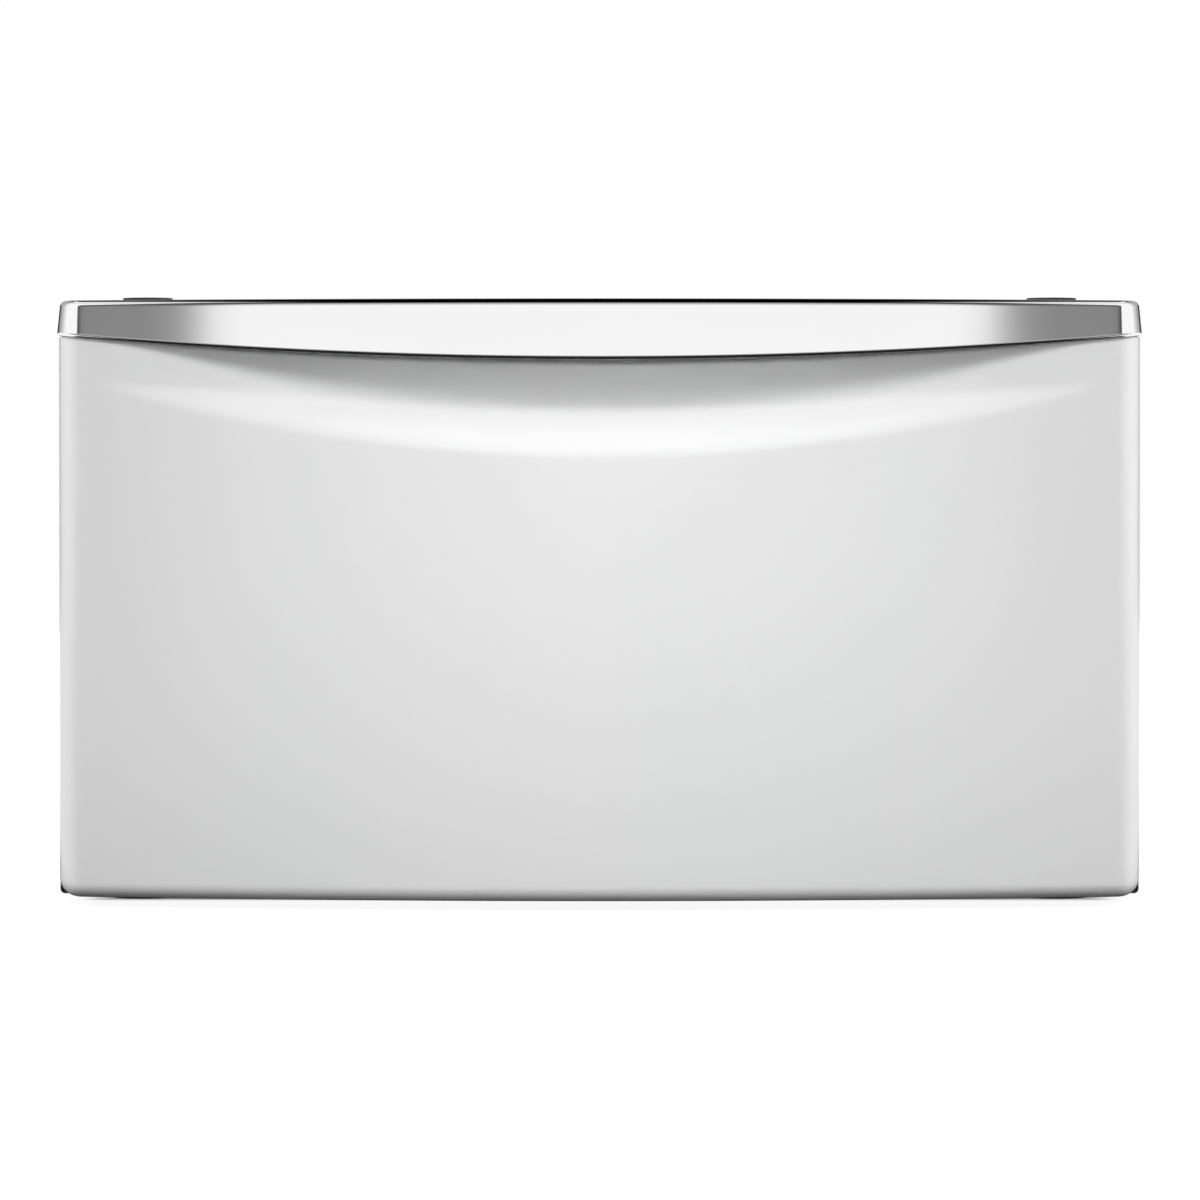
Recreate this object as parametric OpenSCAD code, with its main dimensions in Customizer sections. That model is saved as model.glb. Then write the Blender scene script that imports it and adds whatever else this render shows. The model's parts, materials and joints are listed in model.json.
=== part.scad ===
// Laundry pedestal: a steel plinth with a full-width storage drawer behind a bowed front.
// X runs left to right, the front faces -Y and Z is up. The origin is on the floor,
// at the centre of the footprint. All lengths are in millimetres.

/* [Cabinet] */
// Width across the outer faces of the side panels
cabinet_w = 686; // [640:1:760]
// Depth of the steel shell behind the drawer front
cabinet_d = 585; // [560:1:640]
// Height of the deck sheet above the floor
deck_z = 383; // [370:1:420]
// Gap between the floor and the steel shell
shell_lift = 10; // [9:0.5:14]
// Thickness of the shell's sheet steel
sheet = 1.2; // [0.8:0.1:1.6]
// Width of the flanges that stiffen the side panels
flange_w = 22; // [18:1:26]
// How far the back panel sits inside the rear edges
back_recess = 2.5; // [2:0.5:6]

/* [Deck] */
// Thickness of the deck sheet
deck_t = 1.5; // [1:0.1:2]
// Depth of the deck's turned-down edges
deck_skirt = 18; // [12:1:24]
// Height of the raised pads that the appliance's feet stand on
pad_h = 5; // [4:0.5:8]
// Diameter of the flat top of a pad
pad_d = 32; // [28:1:40]
// Thickness of the rubber disc on each pad
disc_t = 1.5; // [1:0.5:2.5]
// Width of the slope round a pad
pad_slope = 7; // [5:0.5:10]
// Distance between the pads, side to side
pad_pitch_x = 584; // [520:1:590]
// Distance between the pads, front to back
pad_pitch_y = 490; // [400:1:496]
// Distance from the shell's front edge to the front pads
pad_setback = 42; // [40:1:60]
// Diameter of the bolt hole in each pad
deck_bolt_d = 11; // [8:0.5:13]
// Height of the deck's stiffening beads
bead_h = 2.5; // [1.5:0.5:3.5]
// Width of the stiffening beads
bead_w = 26; // [18:1:32]
// Width of the slope along a bead's sides
bead_slope = 4; // [2:0.5:5]
// Number of beads across the deck
deck_beads = 4; // [1:1:5]

/* [Bowed front] */
// Height of the gap under the drawer front
front_lift = 6; // [4:0.5:9]
// How far the front bulges at its centre
bow = 45; // [20:1:60]
// Depth of the front's flat sides behind the bulge
side_depth = 38; // [30:1:50]
// Wall of the moulded front panel
front_wall = 3; // [2.5:0.1:3.5]
// Radius of the front's upright edges
edge_r = 18; // [14:1:24]
// Radius of the front's lower edge
lower_edge_r = 9; // [6:0.5:12]
// Rounding of the lower corners as seen from the front
lower_corner_r = 12.5; // [9:0.5:13]
// Thickness of the black plate that closes the back of the front panel
liner_t = 2; // [1.5:0.1:3]
// How far the black plate stands past the sides of the panel
liner_over = 2; // [0.5:0.5:3]
// Gap between the drawer front and the shell when the drawer is shut
front_gap = 3; // [2:0.5:5]

/* [Finger pocket] */
// Depth of the pocket behind the middle of the bulge
pocket_depth = 31.6; // [24:0.2:34]
// Height of the pocket's wall below the handle's lower edge
pocket_drop = 29; // [22:1:36]
// Slope of the pocket's floor, as depth for each unit of height
pocket_slope = 1.2; // [0.8:0.05:1.5]
// Softness of the pocket's outer rim
pocket_rim = 9; // [5:0.5:12]
// Softness of the pocket's inner crease
pocket_crease = 5; // [3:0.5:8]

/* [Handle] */
// Height of the handle at its middle
handle_mid_h = 38; // [32:1:46]
// Height of the handle at its ends
handle_end_h = 22; // [18:1:28]
// How far the handle stands in front of the panel
handle_proud = 3; // [2:0.5:5]
// How far each end of the handle stands past the panel
handle_over = 1; // [0.5:0.1:2]
// Rounding of the handle's upper edge
handle_top_r = 3.5; // [2:0.5:5]
// Rounding of the handle's lower edge
handle_low_r = 1.5; // [0.5:0.1:1.6]
// Height of the handle's top above the deck sheet
handle_rise = 1; // [0.5:0.1:2]
// Thickness of the handle's top shelf
handle_t = 2.5; // [2:0.1:3]
// Extra thickness of the grip behind the handle's lower edge
grip_t = 5; // [3:0.5:8]
// Draft of the handle's ends, in degrees
end_draft = 5; // [2:0.5:6]
// How far the panel steps in beneath the handle's ends
lap_step = 4; // [3.5:0.1:5]

/* [Drawer] */
// Height of the drawer's lower edge above the floor
drawer_z = 40; // [36:1:60]
// Height of the drawer's sides
drawer_h = 260; // [200:1:290]
// Depth of the drawer box
drawer_d = 494; // [440:1:510]
// Width of the drawer's turned flanges
drawer_flange = 12; // [9:1:16]
// Thickness of the divider
divider_t = 3; // [2:0.5:4]
// Width of the clips that carry the divider
clip_w = 40; // [30:1:50]

/* [Slides] */
// Length of each slide
slide_len = 500; // [460:1:510]
// Height of each slide
slide_h = 45.7; // [42:0.1:50]
// Thickness of each slide
slide_t = 12.7; // [12.7:0.1:14]
// Height of the slides' centre line above the floor
slide_z = 170; // [130:1:220]
// Distance from the shell's outer face to the slide
slide_inset = 26; // [24:0.5:40]
// Distance from the shell's front edge to the slides
slide_setback = 3; // [2:0.5:8]
// Diameter of the bearing balls
ball_d = 4.4; // [4:0.1:4.6]
// Number of balls in each row
ball_count = 6; // [4:1:10]
// Distance from one ball to the next
ball_pitch = 44; // [12:1:46]
// Length of the release lever
lever_len = 60; // [50:1:70]

/* [Feet] */
// Distance from a side panel's outer face to the foot's axis
foot_inset_x = 48; // [46:1:60]
// Distance from the shell's front and back edges to the foot's axis
foot_inset_y = 52; // [50:1:70]
// Diameter of the rubber foot
foot_d = 46; // [40:1:50]
// Height of the rubber foot
foot_h = 6; // [5:0.5:7]
// Diameter of the foot's threaded stud
stud_d = 10; // [8:0.5:12]
// Room between the top of a stud and the drawer above it
stud_gap = 4; // [3:0.5:6]

/* [Hidden] */

$fn = 48;
// Clearances: a seat between fixed pieces, a running fit, and the overlap of a cut
seat = 0.3;
fit = 0.05;
eps = 0.5;

// Places along X
half_w = cabinet_w / 2;
inner_x = half_w - sheet;
slide_x = half_w - slide_inset;
drawer_x = slide_x - slide_t;

// Places along Y
front_d = front_gap + liner_t + side_depth + bow + handle_proud;
back_y = (cabinet_d + front_d) / 2;
shell_y = back_y - cabinet_d;
back_panel_y = back_y - back_recess - sheet;
liner_y = shell_y - front_gap;
front_rear_y = liner_y - liner_t;
face_y = front_rear_y - side_depth - bow;
slide_y = shell_y + slide_setback;
drawer_back_y = liner_y + drawer_d;

// Places along Z
deck_under = deck_z - deck_t;
flange_z = deck_under - sheet;
floor_flange_z = shell_lift + sheet;
handle_z = deck_z + handle_rise;
shelf_z = handle_z - handle_t;
handle_edge_z = handle_z - handle_mid_h;
edge_rise = handle_mid_h - handle_end_h;

// The bulge of the front is an arc about one upright axis
bow_r = (half_w * half_w + bow * bow) / (2 * bow);
bow_axis_y = face_y + bow_r;
handle_x = half_w + handle_over;
skirt_x = half_w - lap_step + seat;

// Colours
enamel = [0.95, 0.95, 0.95];
steel = [0.72, 0.73, 0.75];
chrome = [0.85, 0.86, 0.88];
black = [0.08, 0.08, 0.08];

// Builds one piece for the right side and mirrors it for the left
module on_side(side) {
    if (side > 0) {
        children();
    } else {
        mirror([1, 0, 0]) children();
    }
}

// A box between two corners
module box(a, b) {
    translate(a) cube(b - a);
}

// A stadium-shaped bar that lies along X, centred on its own middle
module stadium(length, width, height) {
    linear_extrude(height) {
        square([length - width, width], center = true);
        for (s = [-1, 1])
            translate([s * (length - width) / 2, 0]) circle(d = width);
    }
}

// A pressed bead along X: its sides and round ends slope in by slope over its height
module bead(length, width, slope, height) {
    low = width / 2;
    high = low - slope;
    reach = length / 2 - low;
    rotate([90, 0, 90]) translate([0, 0, -reach]) linear_extrude(2 * reach)
        polygon([[-low, 0], [low, 0], [high, height], [-high, height]]);
    for (s = [-1, 1])
        translate([s * reach, 0, 0]) cylinder(r1 = low, r2 = high, h = height);
}

// Rods along each axis, from their start
module rod_x(r, length) { rotate([0, 90, 0]) cylinder(r = r, h = length); }
module rod_y(r, length) { rotate([-90, 0, 0]) cylinder(r = r, h = length); }

/* The bowed front */

// Plan of the front as seen from above, from the rear left round to the rear right:
// w is half its width, y its foremost point and r the radius of its upright edges
corner_steps = 6;
bow_steps = 48;

function corner_y(w, y, r) =
    bow_axis_y - sqrt(pow(bow_axis_y - y - r, 2) - pow(w - r, 2));

function turn(w, y, r) = atan2(bow_axis_y - corner_y(w, y, r), w - r);

function left_corner(w, y, r) = [
    for (i = [0:corner_steps])
        let (a = 180 + turn(w, y, r) * i / corner_steps)
        [r - w + r * cos(a), corner_y(w, y, r) + r * sin(a)]
];

function bulge(w, y, r) =
    let (a0 = 180 + turn(w, y, r), a1 = 360 - turn(w, y, r)) [
        for (i = [1:bow_steps - 1])
            let (a = a0 + (a1 - a0) * i / bow_steps)
            [(bow_axis_y - y) * cos(a), bow_axis_y + (bow_axis_y - y) * sin(a)]
    ];

function right_corner(w, y, r) =
    let (c = left_corner(w, y, r)) [for (i = [corner_steps:-1:0]) [-c[i][0], c[i][1]]];

function plan(w, y, r) = concat(
    [[-w, front_rear_y]], left_corner(w, y, r), bulge(w, y, r),
    right_corner(w, y, r), [[w, front_rear_y]]
);

// Rise of the handle's lower edge from its middle towards its ends
function rise(x) = edge_rise * pow(x / handle_x, 2);

// Smooth maximum and minimum, rounded over the radius r
function soft_max(a, b, r) = max(a, b) + pow(max(r - abs(a - b), 0), 2) / (4 * r);
function soft_min(a, b, r) = -soft_max(-a, -b, r);

// Depth of the finger pocket at a point of the face: a flat upright wall that the bulge
// runs out to at both ends, and below it a floor that slopes out to the face
function pocket(x, z) =
    let (
        wall = face_y + pocket_depth
            - (bow_axis_y - sqrt(pow(bow_r, 2) - pow(x, 2))),
        floor_line = wall + (z - handle_edge_z + pocket_drop - rise(x)) * pocket_slope,
        cut = soft_min(wall, floor_line, pocket_crease)
    )
    abs(x) > half_w - edge_r ? 0 : soft_max(cut, 0, pocket_rim);

// Inset of an edge rounded over the radius r, at the height h above its foot
function round_in(r, h) = h < r ? r - sqrt(pow(r, 2) - pow(r - h, 2)) : 0;

// Rows of the panel's skin, from its foot to its top: height, share of the handle's rise,
// inset of the sides and inset of the front. The sides round off higher up than the front.
round_steps = 6;
least_r = 0.8;
pocket_rows = [-52, -42, -36, -31, -26, -21, -16, -11, -7, -4, -2, 0, 2, 4, 8, 14];

function skin_rows(wall) = let (r = lower_corner_r - wall) concat(
    [for (i = [0:round_steps]) let (a = 90 * i / round_steps, h = r * (1 - cos(a))) [
        front_lift + wall + h, 0, wall + r * (1 - sin(a)), wall + round_in(lower_edge_r - wall, h)
    ]],
    [for (d = pocket_rows) [handle_edge_z - pocket_drop + d, 1, wall, wall]],
    [[handle_edge_z - seat - wall, 1, wall, wall]],
    [[handle_edge_z - seat, 1, wall + lap_step, wall]],
    [[shelf_z - seat, 0, wall + lap_step, wall]]
);

function skin(wall) = [
    for (row = skin_rows(wall))
        let (line = plan(half_w - row[2], face_y + row[3], max(edge_r - row[2], least_r)))
        [for (p = line)
            let (z = row[0] + row[1] * rise(p[0]))
            [p[0], p[1] + pocket(p[0], z), z]]
];

// A closed sheet between two skins of the same rows, open at its top and rear
module sheet_between(outer, inner) {
    rows = len(outer);
    cols = len(outer[0]);
    points = [for (s = [outer, inner]) for (row = s) for (p = row) p];
    function at(s, j, i) = s * rows * cols + j * cols + i;
    faces = concat(
        [for (j = [0:rows - 2]) for (i = [0:cols - 2]) for (t = [
            [at(0, j, i), at(0, j + 1, i), at(0, j + 1, i + 1)],
            [at(0, j, i), at(0, j + 1, i + 1), at(0, j, i + 1)],
            [at(1, j, i), at(1, j + 1, i + 1), at(1, j + 1, i)],
            [at(1, j, i), at(1, j, i + 1), at(1, j + 1, i + 1)]
        ]) t],
        [for (i = [0:cols - 2]) for (t = [
            [at(0, rows - 1, i), at(1, rows - 1, i), at(1, rows - 1, i + 1)],
            [at(0, rows - 1, i), at(1, rows - 1, i + 1), at(0, rows - 1, i + 1)]
        ]) t],
        [for (j = [0:rows - 2]) for (t = [
            [at(0, j, 0), at(1, j, 0), at(1, j + 1, 0)],
            [at(0, j, 0), at(1, j + 1, 0), at(0, j + 1, 0)],
            [at(0, j, cols - 1), at(1, j + 1, cols - 1), at(1, j, cols - 1)],
            [at(0, j, cols - 1), at(0, j + 1, cols - 1), at(1, j + 1, cols - 1)]
        ]) t],
        [[for (i = [0:cols - 1]) at(0, 0, i)]],
        [[for (i = [cols - 1:-1:0]) at(1, 0, i)]],
        [[at(0, 0, cols - 1), at(1, 0, cols - 1), at(1, 0, 0), at(0, 0, 0)]]
    );
    polyhedron(points, faces);
}

// Screws that hold the liner to the panel, the handle to the liner and the drawer to both
screw_r = 2;
boss_r = 5;
boss_len = 18;
boss_lap = 1.5;
bore_floor = 2;
screw_room = 2;
boss_screw_len = liner_t + boss_len - bore_floor - screw_room;
boss_z = front_lift + front_wall + boss_r - boss_lap;
boss_x = half_w - front_wall - boss_r + boss_lap;
panel_boss_xs = [-0.74, -0.25, 0.25, 0.74] * half_w;
panel_boss_zs = [0.3, 0.62] * handle_z;
panel_boss_places = concat(
    [for (x = panel_boss_xs) [x, boss_z]],
    [for (s = [-1, 1]) for (z = panel_boss_zs) [s * boss_x, z]]
);
handle_boss_z = shelf_z - boss_r + boss_lap;
handle_boss_xs = [-0.86, -0.5, -0.17, 0.17, 0.5, 0.86] * half_w;
handle_boss_places = [for (x = handle_boss_xs) [x, handle_boss_z]];

module bosses(places, length) {
    for (p = places)
        translate([p[0], front_rear_y - length, p[1]]) rod_y(boss_r, length);
}

module bores(places, length) {
    for (p = places)
        translate([p[0], front_rear_y - length, p[1]]) rod_y(screw_r + fit, length + eps);
}

module front_panel() {
    color(enamel) difference() {
        union() {
            sheet_between(skin(0), skin(front_wall));
            bosses(panel_boss_places, boss_len);
        }
        bores(panel_boss_places, boss_len - bore_floor);
    }
}

// The handle: a cap with a front skirt whose lower edge sags, a top shelf and two ends.
// Each step round its plan is one closed section of the cap.
grip_share = 0.8;
shelf_side = 14;
low_steps = 2;

function cap_point(w, y, r, i, z) = let (p = plan(w, y, r)[i]) [p[0], p[1], z];

function cap_section(i, count) =
    let (
        outer = plan(handle_x, face_y - handle_proud, edge_r - lap_step + handle_over)[i],
        low_z = handle_edge_z + rise(outer[0]),
        draft = (shelf_z - low_z) * tan(end_draft),
        grip = grip_t * max(0, 1 - pow(outer[0] / (grip_share * half_w), 2)),
        rear_x = (2 * i / (count - 1) - 1) * (handle_x - shelf_side)
    )
    concat(
        [for (k = [0:low_steps]) let (
            a = 90 * k / low_steps,
            in = handle_low_r * (1 - sin(a))
        ) cap_point(
            handle_x - in, face_y - handle_proud + in, edge_r - handle_proud - in,
            i, low_z + handle_low_r * (1 - cos(a))
        )],
        [for (k = [0:round_steps]) let (
            a = 90 * k / round_steps,
            in = handle_top_r * (1 - cos(a))
        ) cap_point(
            handle_x - draft - in, face_y - handle_proud + in, edge_r - handle_proud - draft - in,
            i, handle_z - handle_top_r * (1 - sin(a))
        )],
        [[rear_x, front_rear_y, handle_z]],
        [[rear_x, front_rear_y, shelf_z]],
        [cap_point(skirt_x, face_y - seat, edge_r - lap_step + seat, i, shelf_z)],
        [cap_point(skirt_x, face_y - seat + grip, edge_r - lap_step + seat, i, low_z)]
    );

// The top and the underside lean their diagonals opposite ways, so no triangle is flat
// along the rear edge
module cap_shell() {
    count = len(plan(handle_x, face_y, edge_r));
    sections = [for (i = [0:count - 1]) cap_section(i, count)];
    n = len(sections[0]);
    points = [for (s = sections) for (p = s) p];
    faces = concat(
        [for (i = [0:count - 2]) for (k = [0:n - 1]) let (
            m = (k + 1) % n,
            quad = [i * n + k, i * n + m, (i + 1) * n + m, (i + 1) * n + k]
        ) for (t = (2 * i < count - 1) == (k < n - 3)
            ? [[quad[0], quad[1], quad[3]], [quad[1], quad[2], quad[3]]]
            : [[quad[0], quad[1], quad[2]], [quad[0], quad[2], quad[3]]]
        ) t],
        [[for (k = [n - 1:-1:0]) k]],
        [[for (k = [0:n - 1]) (count - 1) * n + k]]
    );
    polyhedron(points, faces);
}

module handle() {
    color(chrome) difference() {
        union() {
            cap_shell();
            bosses(handle_boss_places, boss_len);
        }
        bores(handle_boss_places, boss_len - bore_floor);
    }
}

// Black plate behind the panel, with a rim that locates inside it
liner_corner_r = 3;
rim_depth = 8;
rim_w = 2;
front_screw_xs = [-0.7, -0.23, 0.23, 0.7] * drawer_x;
front_screw_zs = [for (k = [0.18, 0.82]) drawer_z + k * drawer_h];
front_screw_places = [for (x = front_screw_xs) for (z = front_screw_zs) [x, z]];

// The plate is wide below the handle's ends and narrow between them
module liner_plate() {
    wide = half_w + liner_over;
    narrow = half_w - lap_step;
    low = front_lift;
    side_top = handle_z - handle_end_h - seat;
    box([liner_corner_r - wide, 0, low], [wide - liner_corner_r, liner_t, side_top]);
    box([-wide, 0, low + liner_corner_r], [wide, liner_t, side_top]);
    for (s = [-1, 1])
        translate([s * (wide - liner_corner_r), 0, low + liner_corner_r])
            rod_y(liner_corner_r, liner_t);
    box([-narrow, 0, side_top - eps], [narrow, liner_t, shelf_z - seat]);
}

module front_liner() {
    step = front_wall + seat;
    rim_x = half_w - lap_step - step;
    color(black) translate([0, front_rear_y, 0]) difference() {
        union() {
            liner_plate();
            difference() {
                box(
                    [-rim_x, -rim_depth, front_lift + step + 2 * boss_r],
                    [rim_x, 0, handle_boss_z - boss_r - seat]
                );
                box(
                    [rim_w - rim_x, -rim_depth - eps, front_lift + step + 2 * boss_r + rim_w],
                    [rim_x - rim_w, eps, handle_boss_z - boss_r - seat - rim_w]
                );
                for (p = panel_boss_places)
                    translate([p[0], -rim_depth - eps, p[1]])
                        rod_y(boss_r + 2 * seat, rim_depth + eps);
            }
            for (p = front_screw_places)
                translate([p[0], -boss_len, p[1]]) rod_y(boss_r, boss_len);
        }
        for (p = front_screw_places)
            translate([p[0], bore_floor - boss_len, p[1]]) rod_y(screw_r + fit, boss_len + liner_t);
        for (p = concat(panel_boss_places, handle_boss_places))
            translate([p[0], -eps, p[1]]) rod_y(screw_r + fit, liner_t + 2 * eps);
    }
}

// Pan-head screw along -Y, with the underside of its head at y
head_r = 4;
head_h = 1.8;

module screw_forward(x, y, z, length) {
    translate([x, y, z]) {
        rod_y(head_r, head_h);
        translate([0, -length, 0]) rod_y(screw_r, length);
    }
}

module panel_screws() {
    color(steel) for (p = panel_boss_places)
        screw_forward(p[0], liner_y, p[1], boss_screw_len);
}

module handle_screws() {
    color(steel) for (p = handle_boss_places)
        screw_forward(p[0], liner_y, p[1], boss_screw_len);
}

/* The cabinet shell */

// Screws join the shell along the middle of the side panels' flanges
shell_screw_x = half_w - flange_w / 2;
screw_past = 2;
rail_d = 20;
rail_h = 30;
low_rail_h = 21;
low_screw_z = floor_flange_z + low_rail_h / 2;
rail_screw_zs = [low_screw_z, flange_z - rail_h / 2];
back_screw_zs = concat([low_screw_z], [0.36, 0.64, 0.92] * deck_z);
deck_screw_ys = [for (k = [0.16, 0.5, 0.84]) shell_y + k * cabinet_d];
rear_flange_y = back_panel_y - sheet;
rail_y = shell_y + max(sheet, deck_t);

module side_panel(side) {
    flange_x = half_w - flange_w;
    color(enamel) on_side(side) difference() {
        union() {
            box([inner_x, shell_y, shell_lift], [half_w, back_y, deck_z]);
            box([flange_x, shell_y, shell_lift], [half_w, shell_y + sheet, deck_z]);
            box([flange_x, rear_flange_y, shell_lift], [half_w, back_panel_y, deck_under]);
            box([flange_x, shell_y, shell_lift], [half_w, back_panel_y, floor_flange_z]);
            box([flange_x, shell_y, flange_z], [half_w, back_panel_y, deck_under]);
        }
        for (z = rail_screw_zs)
            translate([shell_screw_x, shell_y - eps, z]) rod_y(screw_r + fit, sheet + 2 * eps);
        for (z = back_screw_zs)
            translate([shell_screw_x, rear_flange_y - eps, z]) rod_y(screw_r + fit, sheet + 2 * eps);
        for (y = deck_screw_ys)
            translate([shell_screw_x, y, flange_z - eps]) cylinder(r = screw_r + fit, h = sheet + 2 * eps);
    }
}

back_beads = 3;
back_bead_len = cabinet_w - 4 * flange_w;

// Beads of the back panel, pressed inwards: the outer form, or the hollow behind it
module back_bead_set(y, grow, height) {
    for (k = [1:back_beads])
        translate([0, y, k * deck_z / (back_beads + 1)]) rotate([90, 0, 0])
            bead(back_bead_len + grow, bead_w + grow, bead_slope, height);
}

module back_panel() {
    x = inner_x - seat;
    y_out = back_panel_y + sheet;
    color(enamel) difference() {
        union() {
            box([-x, back_panel_y, floor_flange_z], [x, y_out, flange_z]);
            back_bead_set(y_out, 0, sheet + bead_h);
        }
        back_bead_set(y_out + eps, -2 * sheet, bead_h + eps);
        for (s = [-1, 1]) for (z = back_screw_zs)
            translate([s * shell_screw_x, back_panel_y - eps, z]) rod_y(screw_r + fit, sheet + 2 * eps);
    }
}

module back_screws() {
    shank = 2 * sheet + screw_past;
    color(steel) for (s = [-1, 1]) for (z = back_screw_zs)
        translate([s * shell_screw_x, back_panel_y + sheet, z]) {
            rod_y(head_r, head_h);
            translate([0, -shank, 0]) rod_y(screw_r, shank);
        }
}

// The deck: a sheet with turned-down edges, four hollow pads and stiffening beads
pad_places = [
    for (sx = [-1, 1]) for (k = [0, 1])
        [sx * pad_pitch_x / 2, shell_y + pad_setback + k * pad_pitch_y]
];
deck_screw_places = [for (s = [-1, 1]) for (y = deck_screw_ys) [s * shell_screw_x, y]];
deck_bead_pitch = cabinet_d / (deck_beads + 1);
boss_h = pad_h - disc_t;

module deck_bead(grow, height) {
    for (k = [1:deck_beads])
        translate([0, shell_y + k * deck_bead_pitch, deck_under])
            bead(pad_pitch_x - 2 * pad_d + grow, bead_w + grow, bead_slope, height);
}

module pad_boss(grow, height) {
    for (p = pad_places)
        translate([p[0], p[1], deck_under])
            cylinder(d1 = pad_d + 2 * pad_slope + grow, d2 = pad_d + grow, h = height);
}

module top_deck() {
    x = inner_x - seat;
    skirt_half = half_w - flange_w - seat;
    y0 = shell_y + sheet + seat;
    y1 = back_panel_y + sheet;
    color(enamel) difference() {
        union() {
            box([-x, y0, deck_under], [x, y1, deck_z]);
            box([-skirt_half, shell_y, deck_under], [skirt_half, y0, deck_z]);
            box([-skirt_half, shell_y, deck_z - deck_skirt], [skirt_half, shell_y + deck_t, deck_z]);
            deck_bead(0, deck_t + bead_h);
            pad_boss(0, deck_t + boss_h);
        }
        translate([0, 0, -eps]) {
            deck_bead(-2 * deck_t, bead_h + eps);
            pad_boss(-2 * deck_t, boss_h + eps);
        }
        for (p = pad_places)
            translate([p[0], p[1], deck_under]) cylinder(d = deck_bolt_d, h = deck_t + boss_h + eps);
        for (p = deck_screw_places)
            translate([p[0], p[1], deck_under - eps]) cylinder(r = screw_r + fit, h = deck_t + 2 * eps);
    }
}

// Black rubber discs glued to the pads keep the appliance's feet from slipping
module deck_discs() {
    color(black) for (p = pad_places)
        translate([p[0], p[1], deck_z + boss_h]) difference() {
            cylinder(d = pad_d, h = disc_t);
            translate([0, 0, -eps]) cylinder(d = deck_bolt_d, h = disc_t + 2 * eps);
        }
}

module deck_screws() {
    color(steel) for (p = deck_screw_places)
        translate([p[0], p[1], flange_z - screw_past]) {
            cylinder(r = screw_r, h = screw_past + sheet + deck_t);
            translate([0, 0, screw_past + sheet + deck_t]) cylinder(r = head_r, h = head_h);
        }
}

// Open channel along X: its back stands at y, and its legs point to +Y or -Y
module channel_x(x, y, z0, z1, depth, way) {
    y_far = y + way * depth;
    y_in = y + way * sheet;
    box([-x, min(y, y_in), z0], [x, max(y, y_in), z1]);
    box([-x, min(y, y_far), z0], [x, max(y, y_far), z0 + sheet]);
    box([-x, min(y, y_far), z1 - sheet], [x, max(y, y_far), z1]);
}

rail_x = inner_x - seat;

// Bores for the shell's screws in a rail whose back starts at y
module rail_bores(y, z) {
    for (s = [-1, 1])
        translate([s * shell_screw_x, y - eps, z]) rod_y(screw_r + fit, sheet + 2 * eps);
}

module front_top_rail() {
    color(steel) difference() {
        channel_x(rail_x, rail_y, flange_z - rail_h, flange_z, rail_d, 1);
        rail_bores(rail_y, rail_screw_zs[1]);
    }
}

module front_bottom_rail() {
    color(steel) difference() {
        channel_x(rail_x, rail_y, floor_flange_z, floor_flange_z + low_rail_h, rail_d, 1);
        rail_bores(rail_y, low_screw_z);
    }
}

module rear_bottom_rail() {
    color(steel) difference() {
        channel_x(rail_x, rear_flange_y, floor_flange_z, floor_flange_z + low_rail_h, rail_d, -1);
        rail_bores(rear_flange_y - sheet, low_screw_z);
    }
}

module rail_screws() {
    shank = rail_y - shell_y + sheet + screw_past;
    color(steel) for (s = [-1, 1]) for (z = rail_screw_zs)
        translate([s * shell_screw_x, shell_y, z]) {
            rod_y(screw_r, shank);
            translate([0, -head_h, 0]) rod_y(head_r, head_h);
        }
}

// Hat section welded under the deck
stiffener_w = 70;
stiffener_h = 24;
stiffener_lip = 16;

module deck_stiffener() {
    x = half_w - flange_w - 2 * seat;
    y = shell_y + cabinet_d / 2;
    low = deck_under - stiffener_h;
    wide = stiffener_w / 2;
    color(steel) {
        box([-x, y - wide, low], [x, y + wide, low + sheet]);
        box([-x, y - wide, low], [x, y - wide + sheet, deck_under]);
        box([-x, y + wide - sheet, low], [x, y + wide, deck_under]);
        box([-x, y - wide - stiffener_lip, deck_under - sheet], [x, y - wide + sheet, deck_under]);
        box([-x, y + wide - sheet, deck_under - sheet], [x, y + wide + stiffener_lip, deck_under]);
    }
}

/* Corner brackets and feet */

bracket_t = 3;
bracket_reach = 34;
bracket_lip = 32;
bracket_half = foot_inset_y - rail_d - back_recess - 3 * sheet;
nut_af = 17;
nut_h = 8;
collar_h = floor_flange_z - seat - foot_h;

function foot_place(sx, sy) = [
    sx * (half_w - foot_inset_x),
    sy < 0 ? shell_y + foot_inset_y : back_y - foot_inset_y
];

module hex(af, h) {
    cylinder(d = af / cos(30), h = h, $fn = 6);
}

module corner_bracket(sx, sy) {
    p = foot_place(sx, sy);
    outer = rail_x * sx;
    inner = p[0] - sx * bracket_reach;
    lip = outer - sx * bracket_t;
    y0 = p[1] - bracket_half;
    y1 = p[1] + bracket_half;
    z = floor_flange_z;
    color(steel) difference() {
        union() {
            box([min(inner, outer), y0, z], [max(inner, outer), y1, z + bracket_t]);
            box([min(lip, outer), y0, z], [max(lip, outer), y1, z + bracket_lip]);
        }
        translate([p[0], p[1], floor_flange_z - eps])
            cylinder(r = stud_d / 2 + fit, h = bracket_t + 2 * eps);
    }
}

module foot_nuts() {
    color(steel) for (sx = [-1, 1]) for (sy = [-1, 1])
        translate(concat(foot_place(sx, sy), floor_flange_z + bracket_t)) difference() {
            hex(nut_af, nut_h);
            translate([0, 0, -eps]) cylinder(r = stud_d / 2 + fit, h = nut_h + 2 * eps);
        }
}

module foot_pad(sx, sy) {
    chamfer = foot_h / 3;
    color(black) translate(foot_place(sx, sy)) {
        cylinder(d = foot_d, h = foot_h - chamfer);
        translate([0, 0, foot_h - chamfer])
            cylinder(d1 = foot_d, d2 = foot_d - 3 * chamfer, h = chamfer);
    }
}

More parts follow.
